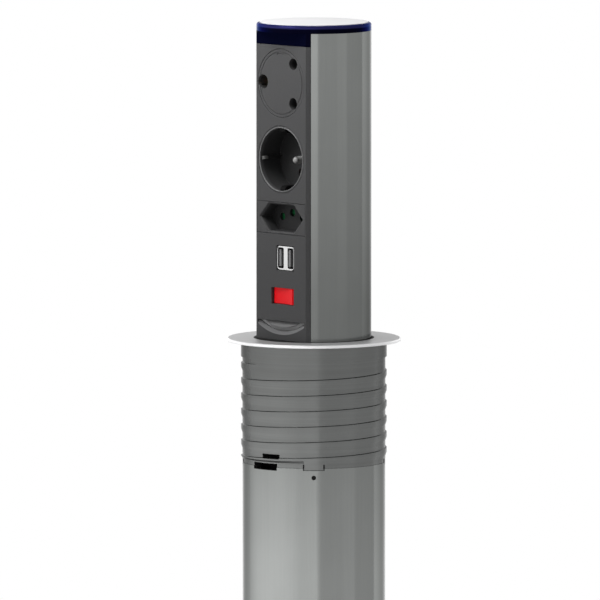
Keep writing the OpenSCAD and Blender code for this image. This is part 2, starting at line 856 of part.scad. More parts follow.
module round_pin_insert() {
    root = upper_sleeve_y - back_plate_y[0];
    color("gray") difference() {
        union() {
            rod_y(upper_face_r, [front + face_sink, plate_back], [0, upper_z]);
            rod_y(insert_body_r, [boss_root, back_plate_y[1]], [0, upper_z]);
            insert_back_plate(upper_z);
            for (at = [upper_live, upper_neutral]) {
                carrier(at, upper_sleeve_r, upper_sleeve_y, root);
            }
            carrier(upper_earth, upper_earth_sleeve_r, upper_sleeve_y, root);
        }
        for (at = [upper_live, upper_neutral]) {
            rod_y(upper_hole_r, [front - over, upper_sleeve_y], at);
            chamber(at, upper_sleeve_r, upper_sleeve_y);
        }
        rod_y(upper_earth_hole_r, [front - over, upper_sleeve_y], upper_earth);
        chamber(upper_earth, upper_earth_sleeve_r, upper_sleeve_y);
        face_lines();
    }
}

module round_pin_contacts() {
    color("gold") {
        for (at = [upper_live, upper_neutral]) {
            sleeve(at, upper_sleeve_r, upper_sleeve_y, live_bar_y[0]);
        }
        sleeve(upper_earth, upper_earth_sleeve_r, upper_sleeve_y, earth_bar_y[0]);
    }
}

module recess_lip_ring() {
    translate([0, front, middle_z]) rotate([-90, 0, 0]) rotate_extrude() difference() {
        square([recess_r + recess_lip, recess_lip]);
        translate([recess_r + recess_lip, recess_lip]) circle(r = recess_lip);
    }
}

module earth_pin_insert() {
    clip_z = [middle_z - clip_half_w - seat_gap, middle_z + clip_half_w + seat_gap];
    color("dimgray") difference() {
        union() {
            rod_y(middle_face_r, [front + face_sink, plate_back + over], [0, middle_z]);
            rod_y(middle_body_r, [plate_back + seat_gap, middle_back], [0, middle_z]);
            insert_back_plate(middle_z);
            for (at = [middle_live, middle_neutral]) {
                carrier(at, middle_sleeve_r, middle_back, over);
            }
        }
        rod_y(recess_r, [front - over, recess_floor], [0, middle_z]);
        recess_lip_ring();
        for (side = [-1, 1]) {
            block([-notch_half_w, notch_half_w], [front - over, notch_floor],
                [middle_z + min(0, side * notch_reach), middle_z + max(0, side * notch_reach)]);
        }
        for (at = [middle_live, middle_neutral]) {
            rod_y(middle_hole_r, [recess_floor - over, middle_back + over], at);
            chamber(at, middle_sleeve_r, middle_back + seat_gap);
        }
        rod_y(earth_pin_r + seat_gap / 2, [recess_floor - over, middle_back + over], middle_earth);
        block([clip_x[0] - seat_gap, clip_x[1] + seat_gap], [recess_floor - over, middle_back + over],
            clip_z);
    }
}

module earth_pin() {
    tip = front + earth_pin_sunk + earth_pin_r;
    color("silver") {
        rod_y(earth_pin_r, [tip, middle_back], middle_earth);
        rod_y(tail_r, [middle_back, earth_bar_y[0]], middle_earth);
        translate([middle_earth[0], tip, middle_earth[1]]) sphere(r = earth_pin_r);
    }
}

module earth_pin_contacts() {
    color("gold") for (at = [middle_live, middle_neutral]) {
        sleeve(at, middle_sleeve_r, middle_back + seat_gap, live_bar_y[0]);
    }
}

module earth_side_clip() {
    clip_z = [middle_z - clip_half_w, middle_z + clip_half_w];
    color("silver") {
        block(clip_x, [clip_front, earth_bar_y[0]], clip_z);
        intersection() {
            rod_z(clip_bow_r, clip_z, [clip_x[1] + clip_bow - clip_bow_r, clip_front + clip_bow_len / 2]);
            block([clip_x[0], clip_x[1] + clip_bow], [clip_front, clip_front + clip_bow_len], clip_z);
        }
    }
}

module hex_insert() {
    color("gray") difference() {
        union() {
            block([-hex_module_x, hex_module_x], [front + face_sink, plate_back],
                [hex_z - hex_module_h / 2, hex_z + hex_module_h / 2]);
            block([-hex_body_x, hex_body_x], [boss_root, cavity_y[1]],
                [hex_z - hex_body_h / 2, hex_z + hex_body_h / 2]);
            block([-inner_x + seam, inner_x - seam], [plate_back, plate_back + hex_ear_t],
                [hex_z - hex_ear_h, hex_z + hex_ear_h]);
        }
        hex_prism([front - over, hex_floor]);
        hex_lip_cut();
        for (at = [hex_live, hex_neutral, hex_earth]) {
            rod_y(hex_hole_r, [hex_floor - over, cavity_y[0] + over], at);
        }
        block([-cavity_half_w, cavity_half_w], [cavity_y[0], cavity_y[1] + over], cavity_z);
        hex_corners() rod_y(pilot_r, [plate_back - over, plate_back + hex_ear_t + over]);
    }
}

module hex_cover() {
    color("gray") difference() {
        union() {
            block([-hex_body_x, hex_body_x], [cavity_y[1], hex_back],
                [hex_z - hex_body_h / 2, hex_z + hex_body_h / 2]);
            for (at = [hex_live, hex_neutral, hex_earth]) {
                carrier(at, hex_sleeve_r, hex_back, over);
            }
        }
        for (at = [hex_live, hex_neutral, hex_earth]) {
            rod_y(hex_hole_r, [cavity_y[1] - over, hex_back + over], at);
            chamber(at, hex_sleeve_r, hex_back + seat_gap);
        }
    }
}

module hex_contacts() {
    color("gold") {
        for (at = [hex_live, hex_neutral]) {
            sleeve(at, hex_sleeve_r, hex_back + seat_gap, live_bar_y[0]);
        }
        sleeve(hex_earth, hex_sleeve_r, hex_back + seat_gap, earth_bar_y[0]);
    }
}

// A plate whose holes meet the pin holes once it has slid to its open end
module hex_shutter() {
    plate_y = [cavity_y[0] + shutter_gap, cavity_y[1] - shutter_gap];
    color("green") difference() {
        block([hex_live[0] - shutter_edge, hex_neutral[0] + shutter_travel + shutter_edge], plate_y,
            shutter_z);
        for (at = [hex_live, hex_neutral, hex_earth]) {
            rod_y(hex_hole_r + seat_gap, [plate_y[0] - over, plate_y[1] + over],
                [at[0] + shutter_travel, at[1]]);
        }
    }
}

// A screw along Y from its pilot hole's floor to the face under its head
module screw_y(pilot_floor, face) {
    rod_y(insert_screw_r, [pilot_floor + screw_tip_gap, face]);
    rod_y(2 * insert_screw_r, [face, face + screw_head_t]);
}

module insert_screws() {
    color("silver") {
        for (z = [upper_z, middle_z]) {
            insert_corners(z) {
                screw_y(pilot_y, back_plate_y[1]);
            }
        }
        hex_corners() {
            screw_y(plate_back - hex_pilot_depth, plate_back + hex_ear_t);
        }
    }
}

// Bars

module bar_arm(x, y, z) {
    block([min(x) - bar_w / 2, max(x) + bar_w / 2], y, [z - bar_w / 2, z + bar_w / 2]);
}

module bar_spine(x, y, z) {
    block([x - bar_w / 2, x + bar_w / 2], y, z);
}

// A spine with one arm to each contact, given as [x, z]
module bar(x, y, contacts, foot) {
    bar_spine(x, y, [foot, max([for (at = contacts) at[1]]) + bar_w / 2]);
    for (at = contacts) {
        bar_arm([x, at[0]], y, at[1]);
    }
}

module live_bar() {
    color("gold") bar(-spine_x, live_bar_y,
        [upper_live, middle_live, hex_live, [switch_tail_x, rocker_z + switch_tail_dz]],
        rocker_z + switch_tail_dz - bar_w / 2);
}

module live_feed_bar() {
    color("gold") bar(-spine_x, live_bar_y, [[switch_tail_x, rocker_z - switch_tail_dz]], block_top);
}

module neutral_bar() {
    color("gold") bar(spine_x, live_bar_y, [upper_neutral, middle_neutral, hex_neutral], block_top);
}

module earth_bar() {
    color("gold") bar(0, earth_bar_y, [upper_earth, middle_earth, middle_clip, hex_earth], block_top);
}

module terminal_block() {
    color("white") difference() {
        block([-block_half_w, block_half_w], block_y, [plug_top, block_top]);
        terminal_places() rod_y(terminal_r, [block_y[0] - over, block_y[0] + terminal_depth]);
    }
}

module terminal_places() {
    for (x = [-terminal_x, 0, terminal_x]) {
        translate([x, 0, block_top - terminal_drop]) children();
    }
}

module terminal_screws() {
    color("silver") terminal_places() rod_y(terminal_r - seat_gap,
        [block_y[0] + terminal_sunk, block_y[0] + terminal_depth]);
}

// Charger

module usb_shell() {
    y = [shell_front, shell_front + shell_depth];
    color("silver") difference() {
        rounded_block_y([usb_x - usb_half_w, usb_x + usb_half_w], y,
            [usb_z - usb_half_h, usb_z + usb_half_h], usb_corner_r);
        for (side = [-1, 1]) {
            block([usb_x + side * port_at - port_w / 2, usb_x + side * port_at + port_w / 2],
                [y[0] - over, y[1] - shell_wall], [usb_z - port_h / 2, usb_z + port_h / 2]);
        }
    }
}

module usb_tongues() {
    y = [shell_front + tongue_sunk, shell_front + shell_depth - shell_wall];
    half_h = port_h / 2 - tongue_end;
    color("white") for (side = [-1, 1]) {
        left = usb_x + side * port_at - port_w / 2 + tongue_side;
        block([left, left + tongue_t], y, [usb_z - half_h, usb_z + half_h]);
    }
}

module usb_board() {
    color("darkgreen") difference() {
        union() {
            block([-board_half_w, board_half_w], board_y, [usb_z - board_half_h, usb_z + board_half_h]);
            block(coil_x, [board_y[1], board_y[1] + coil_h], [usb_z - coil_half_h, usb_z + coil_half_h]);
            rod_y(can_r, [board_y[1], board_y[1] + can_h], [can_x, usb_z]);
            for (side = [-1, 1]) {
                rod_y(tail_r, [board_y[1], live_bar_y[0]], [side * spine_x, usb_z + lead_rise]);
            }
        }
        board_corners() rod_y(pilot_r, [board_y[0] - over, board_y[1] + over]);
    }
}

module board_screws() {
    color("silver") board_corners() screw_y(long_pilot_y, board_y[1]);
}

// Switch

module switch_body() {
    half_h = rocker_slot_h + switch_wall;
    x = [rocker_x - rocker_slot_x - switch_wall, rocker_x + rocker_slot_x + switch_wall];
    color("black") difference() {
        block(x, [plate_back, switch_back], [rocker_z - half_h, rocker_z + half_h]);
        block([rocker_x - rocker_slot_x, rocker_x + rocker_slot_x], [plate_back - over, switch_floor],
            [rocker_z - rocker_slot_h, rocker_z + rocker_slot_h]);
        rod_z(pivot_r + pivot_gap, [rocker_z - half_h - over, rocker_z + half_h + over],
            [rocker_x, pivot_y]);
    }
}

module switch_terminals() {
    color("gold") for (side = [-1, 1]) {
        rod_y(tail_r, [switch_back, live_bar_y[0]], [switch_tail_x, rocker_z + side * switch_tail_dz]);
    }
}

// The rocker rests with its left end pressed in
module rocker() {
    tip_y = rocker_front - rocker_dip;
    side_face = [[-rocker_end_r, tip_y], [0, rocker_front], [rocker_end_r, tip_y],
        [rocker_end_r, rocker_side], [rocker_keel, rocker_keel], [-rocker_keel, rocker_keel],
        [-rocker_end_r, rocker_side]];
    color("red") translate([rocker_x, pivot_y, rocker_z]) rotate([0, 0, -rocker_tilt]) union() {
        intersection() {
            translate([0, 0, -rocker_half_h]) linear_extrude(2 * rocker_half_h) polygon(side_face);
            rod_z(rocker_end_r, [-rocker_half_h, rocker_half_h]);
        }
        rod_z(pivot_r, [-rocker_slot_h - switch_wall, rocker_slot_h + switch_wall]);
    }
}

// Release latch

// Its face leans back towards the top and has a step along its curved lower edge
module release_latch() {
    bolt_front = front - bolt_reach;
    lean = [[front - over, brow_z], [front + face_sink, brow_z], [front + lean_depth, scoop_top],
        [front - over, scoop_top]];
    color("gray") difference() {
        union() {
            scoop_outline(latch_gap, [front + brow_depth, latch_plate_y[1]]);
            scoop_outline(latch_gap, [front + face_sink, latch_plate_y[1]], brow_h);
            block([-stem_half_w, stem_half_w], latch_plate_y, [bolt_z[0], stem_top]);
            block([-bolt_half_w, bolt_half_w], [bolt_front, latch_plate_y[0] + over / 2], bolt_z);
        }
        translate([-scoop_half_w, 0, 0]) rotate([90, 0, 90]) linear_extrude(2 * scoop_half_w) polygon(lean);
        translate([-2 * bolt_half_w, bolt_front, bolt_z[1] - bolt_chamfer]) rotate([45, 0, 0])
            cube([4 * bolt_half_w, 2 * bolt_chamfer, 2 * bolt_chamfer]);
    }
}

module latch_spring() {
    color("silver") difference() {
        rod_y(spring_r, [latch_plate_y[1] + seat_gap, bracket_y[0] - seat_gap], [0, bracket_z]);
        rod_y(spring_r - spring_wall, [latch_plate_y[1] - over, bracket_y[0] + over], [0, bracket_z]);
    }
}

module latch_bracket() {
    half_w = bracket_boss_x + boss_r;
    color("gray") difference() {
        union() {
            block([-half_w, half_w], bracket_y, [bracket_z - bracket_half_h, bracket_z + bracket_half_h]);
            rod_y(spring_r - spring_wall - slide_gap, [bracket_y[0] - spring_peg_h, bracket_y[0] + over],
                [0, bracket_z]);
        }
        bracket_ends() rod_y(pilot_r, [bracket_y[0] - over, bracket_y[1] + over]);
    }
}

module bracket_screws() {
    color("silver") bracket_ends() screw_y(long_pilot_y, bracket_y[1]);
}

// Cap

// Room for the front strip at the edge of a round plug inside the profile
module plug_relief(z) {
    block([-tower_r, tower_r], [-tower_r, wing_y[1] + seam], [z[0] - over, z[1] + over]);
}

module light_ring() {
    ring_h = cap_h - disc_proud;
    plug_z = [profile_top - cap_plug_h, profile_top];
    color("midnightblue") difference() {
        union() {
            translate([0, 0, profile_top]) rotate_extrude() {
                square([tower_r - rim_round, ring_h]);
                square([tower_r, ring_h - rim_round]);
                intersection() {
                    translate([tower_r - rim_round, ring_h - rim_round]) circle(r = rim_round);
                    square([tower_r, ring_h]);
                }
            }
            front_section([skirt_bottom, profile_top]);
            difference() {
                tube_z(plug_r, plug_r - cap_plug_wall, plug_z);
                plug_relief(plug_z);
            }
        }
        rod_z(disc_r + seat_gap, [disc_floor, tower_rise]);
        screw_ports() rod_z(screw_hole_r, [profile_top - over, tower_rise]);
        screw_ports() rod_z(2 * screw_hole_r, [disc_floor - cap_head_t, tower_rise]);
    }
}

module led_board() {
    z = [profile_top - led_board_t, profile_top];
    board_r = plug_r - cap_plug_wall - seat_gap;
    lamp_y = [board_r - 4 * lamp_half_w, board_r - 2 * lamp_half_w];
    color("white") difference() {
        union() {
            rod_z(board_r, z);
            for (angle = [0:30:330]) {
                at_angle(angle) block([-lamp_half_w, lamp_half_w], lamp_y,
                    [z[0] - lamp_t, z[0] + led_board_t / 2]);
            }
        }
        plug_relief([z[0] - lamp_t, z[1]]);
    }
}

module top_disc() {
    color("whitesmoke") rod_z(disc_r, [tower_rise - disc_t, tower_rise]);
}

module cap_screws() {
    color("silver") screw_ports() {
        rod_z(screw_r, [profile_top - port_screw_l, disc_floor - cap_head_t]);
        rod_z(2 * screw_r, [disc_floor - cap_head_t, disc_floor - seat_gap]);
    }
}

// Foot of the tower

module tower_base() {
    color("black") difference() {
        union() {
            rod_z(foot_r, foot_z);
            difference() {
                rod_z(plug_r, [foot_z[1] - over / 2, plug_top]);
                plug_relief([foot_z[1] + over / 2, plug_top]);
            }
        }
        tube_z(foot_r + over, glide_groove_r, glide_groove_z);
        rod_z(gland_r + seat_gap, [foot_z[0] - over, plug_top + over]);
        screw_ports() rod_z(screw_hole_r, [foot_z[0] - over, foot_z[1] + over]);
        screw_ports() rod_z(2 * screw_hole_r, [foot_z[0] - over, foot_z[0] + base_head_t]);
    }
}

module glide_ring() {
    slit = 3;
    z = [glide_groove_z[0] + seat_gap, glide_groove_z[1] - seat_gap];
    color("white") difference() {
        tube_z(tube_bore_r - slide_gap, glide_groove_r + seat_gap, z);
        block([-slit / 2, slit / 2], [0, 2 * tube_r], [z[0] - over, z[1] + over]);
    }
}

module base_screws() {
    color("silver") screw_ports() {
        rod_z(screw_r, [foot_z[0] + base_head_t, foot_z[1] + port_screw_l]);
        rod_z(2 * screw_r, [foot_z[0] + seat_gap, foot_z[0] + base_head_t]);
    }
}

module cable_gland() {
    color("black") difference() {
        union() {
            rod_z(gland_r, [gland_bottom, gland_top]);
            translate([0, 0, foot_z[0] - gland_hex_h]) cylinder(h = gland_hex_h, r = gland_cap_r, $fn = 6);
            rod_z(gland_cap_r - gland_taper, [gland_bottom, foot_z[0] - gland_hex_h - gland_neck]);
        }
        rod_z(cable_r, [gland_bottom - over, gland_top + over]);
    }
}

module gland_nut() {
    color("silver") difference() {
        translate([0, 0, plug_top]) cylinder(h = nut_h, r = nut_r, $fn = 6);
        rod_z(gland_r + seat_gap, [plug_top - over, plug_top + nut_h + over]);
    }
}

desk_flange();
wiper_seal();
threaded_collar();
guide_bush();
outer_tube();
tube_end_ring();
end_ring_rivets();
collar_screws();
tower_profile();
front_fascia();
terminal_cover();
round_pin_insert();
round_pin_contacts();
earth_pin_insert();
earth_pin();
earth_pin_contacts();
earth_side_clip();
hex_insert();
hex_cover();
hex_contacts();
hex_shutter();
insert_screws();
live_bar();
live_feed_bar();
neutral_bar();
earth_bar();
terminal_block();
terminal_screws();
usb_shell();
usb_tongues();
usb_board();
board_screws();
switch_body();
switch_terminals();
rocker();
release_latch();
latch_spring();
latch_bracket();
bracket_screws();
light_ring();
led_board();
top_disc();
cap_screws();
tower_base();
glide_ring();
base_screws();
cable_gland();
gland_nut();
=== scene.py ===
"""Looks of the pop up desk socket: finishes, dressed pieces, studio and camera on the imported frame."""

import json
import logging
import math
from collections.abc import Sequence
from dataclasses import dataclass, field
from enum import Enum

import bmesh
import bpy
from mathutils import Matrix, Vector


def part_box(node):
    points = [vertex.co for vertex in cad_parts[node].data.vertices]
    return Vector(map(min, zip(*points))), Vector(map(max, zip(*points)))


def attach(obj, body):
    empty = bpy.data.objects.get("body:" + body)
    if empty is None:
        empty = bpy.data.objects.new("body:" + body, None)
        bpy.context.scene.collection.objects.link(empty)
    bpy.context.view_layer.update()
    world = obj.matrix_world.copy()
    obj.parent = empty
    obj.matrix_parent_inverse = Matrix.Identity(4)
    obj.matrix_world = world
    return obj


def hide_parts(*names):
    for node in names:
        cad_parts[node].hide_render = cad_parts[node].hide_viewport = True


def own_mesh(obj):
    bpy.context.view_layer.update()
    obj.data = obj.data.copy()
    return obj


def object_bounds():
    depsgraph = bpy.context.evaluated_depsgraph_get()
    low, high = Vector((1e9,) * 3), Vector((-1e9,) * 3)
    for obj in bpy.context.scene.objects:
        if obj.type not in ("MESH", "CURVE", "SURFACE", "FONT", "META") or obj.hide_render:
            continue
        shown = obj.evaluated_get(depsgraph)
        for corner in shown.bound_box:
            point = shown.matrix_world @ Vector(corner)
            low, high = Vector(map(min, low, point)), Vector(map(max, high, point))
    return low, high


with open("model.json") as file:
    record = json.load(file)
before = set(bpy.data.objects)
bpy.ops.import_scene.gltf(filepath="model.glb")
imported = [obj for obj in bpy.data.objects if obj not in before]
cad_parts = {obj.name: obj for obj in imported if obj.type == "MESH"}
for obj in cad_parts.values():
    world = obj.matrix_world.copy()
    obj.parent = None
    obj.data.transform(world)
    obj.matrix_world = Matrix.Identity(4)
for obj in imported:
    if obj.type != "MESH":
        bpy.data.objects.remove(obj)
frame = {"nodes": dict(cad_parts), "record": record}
CAD_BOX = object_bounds()
log = logging.getLogger("desk_socket")

MM = 0.001
# Depth of the tower's flat front, radius of the flange and height of the light ring, in millimetres.
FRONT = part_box("front_fascia")[0][1] / MM
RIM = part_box("desk_flange")[1][0] / MM
RING_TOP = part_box("light_ring")[1][2] / MM
# How mesh edges are softened, and how near two points count as one.
EDGE_STEPS = 2
CORNER_STEPS = 6
BAR_EDGE = 0.12 * MM
SAME_POINT = 0.001 * MM
WHITE = (1.0, 1.0, 1.0, 1.0)

Colour = tuple[float, float, float]
Pair = tuple[float, float]
Socket = bpy.types.NodeSocket
Number = Socket | float
Source = Socket | float | Sequence[float]


class Graph:
    """Wires the nodes of one node tree."""

    # Sockets of a Mix node that take and give colours.
    FIRST_COLOUR, SECOND_COLOUR, MIXED_COLOUR = 6, 7, 2

    def __init__(self, tree: bpy.types.NodeTree) -> None:
        """Keeps the tree that is wired."""
        self.tree = tree

    @classmethod
    def fresh(cls, owner: bpy.types.ID) -> "Graph":
        """Starts the nodes of a material, world or lamp anew.

        Args:
            owner: What the nodes belong to.

        Returns:
            The graph of its emptied tree.
        """
        owner.use_nodes = True
        owner.node_tree.nodes.clear()
        return cls(owner.node_tree)

    def add(self, kind: str, *sources: Source, **settings: object) -> bpy.types.Node:
        """Adds a node.

        Args:
            kind: Blender's name for the node's type.
            sources: What its first inputs take, in order.
            settings: Properties to set on the node.

        Returns:
            The new node.
        """
        node = self.tree.nodes.new(kind)
        for name, value in settings.items():
            setattr(node, name, value)
        for target, source in zip(node.inputs, sources):
            self.feed(target, source)
        return node

    def feed(self, target: Socket, source: Source) -> None:
        """Links a socket to a target, or sets the target's own value.

        Args:
            target: Input socket.
            source: Output socket, number or vector.
        """
        if isinstance(source, Socket):
            self.tree.links.new(source, target)
        else:
            target.default_value = source

    def math(self, operation: str, *operands: Number) -> Socket:
        """Gives the result of a Math node."""
        return self.add("ShaderNodeMath", *operands, operation=operation).outputs[0]

    def here(self) -> Socket:
        """Gives the place on the object, in metres."""
        return self.add("ShaderNodeTexCoord").outputs["Object"]

    def split(self, vector: Socket) -> Sequence[Socket]:
        """Gives the three parts of a vector."""
        return self.add("ShaderNodeSeparateXYZ", vector).outputs

    def join(self, *parts: Number) -> Socket:
        """Gives the vector of two or three parts."""
        return self.add("ShaderNodeCombineXYZ", *parts).outputs[0]

    def length(self, vector: Socket) -> Socket:
        """Gives the length of a vector."""
        return self.add("ShaderNodeVectorMath", vector, operation="LENGTH").outputs["Value"]

    def ramp(self, value: Socket, low: Number, high: Number, to_low: Number = 0.0,
             to_high: Number = 1.0) -> Socket:
        """Maps a value from one range to another and clamps it.

        Args:
            value: Value to map.
            low: Start of the source range.
            high: End of the source range.
            to_low: Start of the target range.
            to_high: End of the target range.

        Returns:
            The mapped value.
        """
        node = self.add("ShaderNodeMapRange", value, low, high, to_low, to_high,
                        interpolation_type="SMOOTHSTEP")
        return node.outputs[0]

    def mix(self, factor: Number, first: Source, second: Source) -> Socket:
        """Mixes two colours.

        Args:
            factor: Share of the second colour.
            first: First colour.
            second: Second colour.

        Returns:
            The mixed colour.
        """
        node = self.add("ShaderNodeMix", factor, data_type="RGBA")
        self.feed(node.inputs[self.FIRST_COLOUR], first)
        self.feed(node.inputs[self.SECOND_COLOUR], second)
        return node.outputs[self.MIXED_COLOUR]

    def noise(self, where: Socket, scale: Number, detail: float) -> Socket:
        """Adds a noise pattern.

        Args:
            where: Coordinates of the pattern.
            scale: Steps a metre.
            detail: Number of finer octaves.

        Returns:
            The pattern's value.
        """
        node = self.add("ShaderNodeTexNoise", where)
        self.feed(node.inputs["Scale"], scale)
        node.inputs["Detail"].default_value = detail
        return node.outputs["Fac"]

    def blend(self, factor: Socket, first: bpy.types.Node, second: bpy.types.Node) -> Socket:
        """Gives a mix of two shaders."""
        return self.add("ShaderNodeMixShader", factor, first.outputs[0], second.outputs[0]).outputs[0]

    def rays(self, *kinds: str) -> Socket:
        """Tells rays of some kinds from the rest.

        Args:
            kinds: Light Path's names for the kinds.

        Returns:
            1 for a ray of one of these kinds, or else 0.
        """
        path = self.add("ShaderNodeLightPath")
        seen = path.outputs[kinds[0]]
        for kind in kinds[1:]:
            seen = self.math("MAXIMUM", seen, path.outputs[kind])
        return seen


class Kind(Enum):
    """Kinds of sockets that a node group has."""

    COLOUR = "NodeSocketColor"
    VALUE = "NodeSocketFloat"
    VECTOR = "NodeSocketVector"


class Grain(Enum):
    """Ways a surface is worked, each with its own node group."""

    MOULDED = "moulded_grain"
    DRAWN = "drawn_lines"
    TURNED = "turned_lines"


@dataclass
class Effects:
    """Shader node groups that several finishes share; scales are in steps a metre."""

    fine_detail: float = 3.0
    fine_share: float = 0.6
    broad_detail: float = 2.0
    broad_factor: float = 0.02
    tone_range: Pair = (0.3, 0.7)
    drawn_squeeze: float = 0.008
    edge_samples: int = 6
    edge_bend: Pair = (0.02, 0.2)
    rub_scale: float = 260.0
    rub_detail: float = 3.0
    rub_range: Pair = (0.35, 0.65)
    rub_least: float = 0.35
    mark_scale: float = 55.0
    mark_detail: float = 4.0
    mark_middle: float = 0.5
    groups: dict[str, bpy.types.NodeTree] = field(init=False)

    def __post_init__(self) -> None:
        """Builds every group once."""
        self.groups = {grain.value: self._grain(grain) for grain in Grain}
        self.groups |= {"soft_edges": self._soft_edges(), "handling_marks": self._handling_marks()}

    @staticmethod
    def _start(name: str, inputs: dict[str, Kind],
               outputs: dict[str, Kind]) -> tuple[Graph, bpy.types.Node, bpy.types.Node]:
        """Starts a group with named sockets.

        Args:
            name: The group's name.
            inputs: Kind of socket by input name.
            outputs: Kind of socket by output name.

        Returns:
            The graph, its input node and its output node.
        """
        tree = bpy.data.node_groups.new(name, "ShaderNodeTree")
        for side, sockets in (("INPUT", inputs), ("OUTPUT", outputs)):
            for label, kind in sockets.items():
                tree.interface.new_socket(label, in_out=side, socket_type=kind.value)
        graph = Graph(tree)
        return graph, graph.add("NodeGroupInput"), graph.add("NodeGroupOutput")

    def _grain(self, grain: Grain) -> bpy.types.NodeTree:
        """Builds the colour and height of a worked surface.

        Args:
            grain: How the surface is worked.

        Returns:
            The group, with Colour and Height outputs.
        """
        graph, given, result = self._start(
            grain.value, {"Colour": Kind.COLOUR, "Mottling": Kind.VALUE, "Scale": Kind.VALUE},
            {"Colour": Kind.COLOUR, "Height": Kind.VALUE})
        scale, mottling = given.outputs["Scale"], given.outputs["Mottling"]
        here = path = graph.here()
        if grain is Grain.DRAWN:
            squeeze = graph.add("ShaderNodeMapping", here)
            squeeze.inputs["Scale"].default_value = (1.0, 1.0, self.drawn_squeeze)
            path = squeeze.outputs[0]
        elif grain is Grain.TURNED:
            across, along, height = graph.split(here)
            path = graph.join(graph.length(graph.join(across, along)), 0.0, height)
        fine = graph.noise(path, scale, self.fine_detail)
        broad = graph.noise(here, graph.math("MULTIPLY", scale, self.broad_factor), self.broad_detail)
        both = graph.math("ADD", graph.math("MULTIPLY", fine, self.fine_share),
                          graph.math("MULTIPLY", broad, 1.0 - self.fine_share))
        tone = graph.ramp(both, *self.tone_range, graph.math("SUBTRACT", 1.0, mottling),
                          graph.math("ADD", 1.0, mottling))
        toned = graph.add("ShaderNodeVectorMath", given.outputs["Colour"], operation="SCALE")
        graph.feed(toned.inputs["Scale"], tone)
        graph.feed(result.inputs["Colour"], toned.outputs[0])
        graph.feed(result.inputs["Height"], fine)
        return graph.tree

    def _soft_edges(self) -> bpy.types.NodeTree:
        """Builds the rounded normal at edges and a mask of where they are rubbed.

        Returns:
            The group, with Normal and Edge outputs.
        """
        graph, given, result = self._start(
            "soft_edges", {"Radius": Kind.VALUE}, {"Normal": Kind.VECTOR, "Edge": Kind.VALUE})
        bevel = graph.add("ShaderNodeBevel", given.outputs["Radius"], samples=self.edge_samples).outputs[0]
        plain = graph.add("ShaderNodeNewGeometry").outputs["Normal"]
        match = graph.add("ShaderNodeVectorMath", bevel, plain, operation="DOT_PRODUCT").outputs["Value"]
        bend = graph.ramp(graph.math("SUBTRACT", 1.0, match), *self.edge_bend)
        pattern = graph.noise(graph.here(), self.rub_scale, self.rub_detail)
        broken = graph.ramp(pattern, *self.rub_range, self.rub_least)
        graph.feed(result.inputs["Edge"], graph.math("MULTIPLY", bend, broken))
        graph.feed(result.inputs["Normal"], bevel)
        return graph.tree

    def _handling_marks(self) -> bpy.types.NodeTree:
        """Builds the change of roughness where hands and cloths have been.

        Returns:
            The group, with a Roughness output.
        """
        graph, given, result = self._start(
            "handling_marks", {"Roughness": Kind.VALUE, "Amount": Kind.VALUE}, {"Roughness": Kind.VALUE})
        marks = graph.noise(graph.here(), self.mark_scale, self.mark_detail)
        change = graph.math("MULTIPLY", graph.math("SUBTRACT", marks, self.mark_middle),
                            given.outputs["Amount"])
        graph.feed(result.inputs["Roughness"], graph.math("ADD", given.outputs["Roughness"], change))
        return graph.tree

    def place(self, graph: Graph, name: str, **values: Source) -> bpy.types.Node:
        """Places a group in a material.

        Args:
            graph: The material's graph.
            name: The group's name.
            values: Input values by socket name.

        Returns:
            The group node.
        """
        node = graph.add("ShaderNodeGroup", node_tree=self.groups[name])
        for label, value in values.items():
            graph.feed(node.inputs[label], value)
        return node


@dataclass(frozen=True)
class Finish:
    """A procedural material: colour, gloss, worked grain and softened, rubbed edges.

    The depth of the grain and the radius of the edges are in millimetres.
    """

    colour: Colour
    roughness: float
    metallic: float = 0.0
    grain: Grain = Grain.MOULDED
    scale: float = 1400.0
    depth: float = 0.004
    mottling: float = 0.05
    marks: float = 0.06
    edge: float = 0.25
    rubbed: float = 0.3
    rubbed_tone: float = 0.9
    specular: float = 0.5
    specular_tint: Colour = (1.0, 1.0, 1.0)
    painted_glow: float = 0.0
    ior: float = 1.5

    def material(self, name: str, effects: Effects) -> bpy.types.Material:
        """Builds the material.

        Args:
            name: The material's name.
            effects: Node groups to place in it.

        Returns:
            The new material.
        """
        made = bpy.data.materials.new(name)
        graph = Graph.fresh(made)
        shader = graph.add("ShaderNodeBsdfPrincipled")
        graph.add("ShaderNodeOutputMaterial", shader.outputs[0])
        grain = effects.place(graph, self.grain.value, Colour=(*self.colour, 1.0), Mottling=self.mottling,
                              Scale=self.scale)
        edges = effects.place(graph, "soft_edges", Radius=self.edge * MM)
        marks = effects.place(graph, "handling_marks", Roughness=self.roughness, Amount=self.marks)
        body = self._body(graph, grain)
        wear_and_lit = (channel + (self.rubbed_tone - channel) * self.rubbed for channel in self.colour)
        rubbed = graph.math("MULTIPLY", edges.outputs["Edge"], self.rubbed)
        bump = graph.add("ShaderNodeBump")
        bump.inputs["Distance"].default_value = self.depth * MM
        graph.feed(bump.inputs["Height"], grain.outputs["Height"])
        graph.feed(bump.inputs["Normal"], self._slope(graph, edges))
        looks = {"Base Color": graph.mix(rubbed, body, (*wear_and_lit, 1.0)), "Roughness": marks.outputs["Roughness"],
                 "Normal": bump.outputs[0], "Metallic": self.metallic, "IOR": self.ior,
                 "Specular IOR Level": self.specular, "Specular Tint": (*self.specular_tint, 1.0)}
        # Painted glow: light given off in the surface's own colour, where a finish sets it.
        if self.painted_glow:
            looks |= {"Emission Color": body, "Emission Strength": self.painted_glow}
        for label, source in looks.items():
            graph.feed(shader.inputs[label], source)
        return made

    def _body(self, graph: Graph, grain: bpy.types.Node) -> Socket:
        """Gives the colour under the wear, which here is the grain's own."""
        return grain.outputs["Colour"]

    def _slope(self, graph: Graph, edges: bpy.types.Node) -> Socket:
        """Gives the normal under the grain, which here is the softened edges' own."""
        return edges.outputs["Normal"]


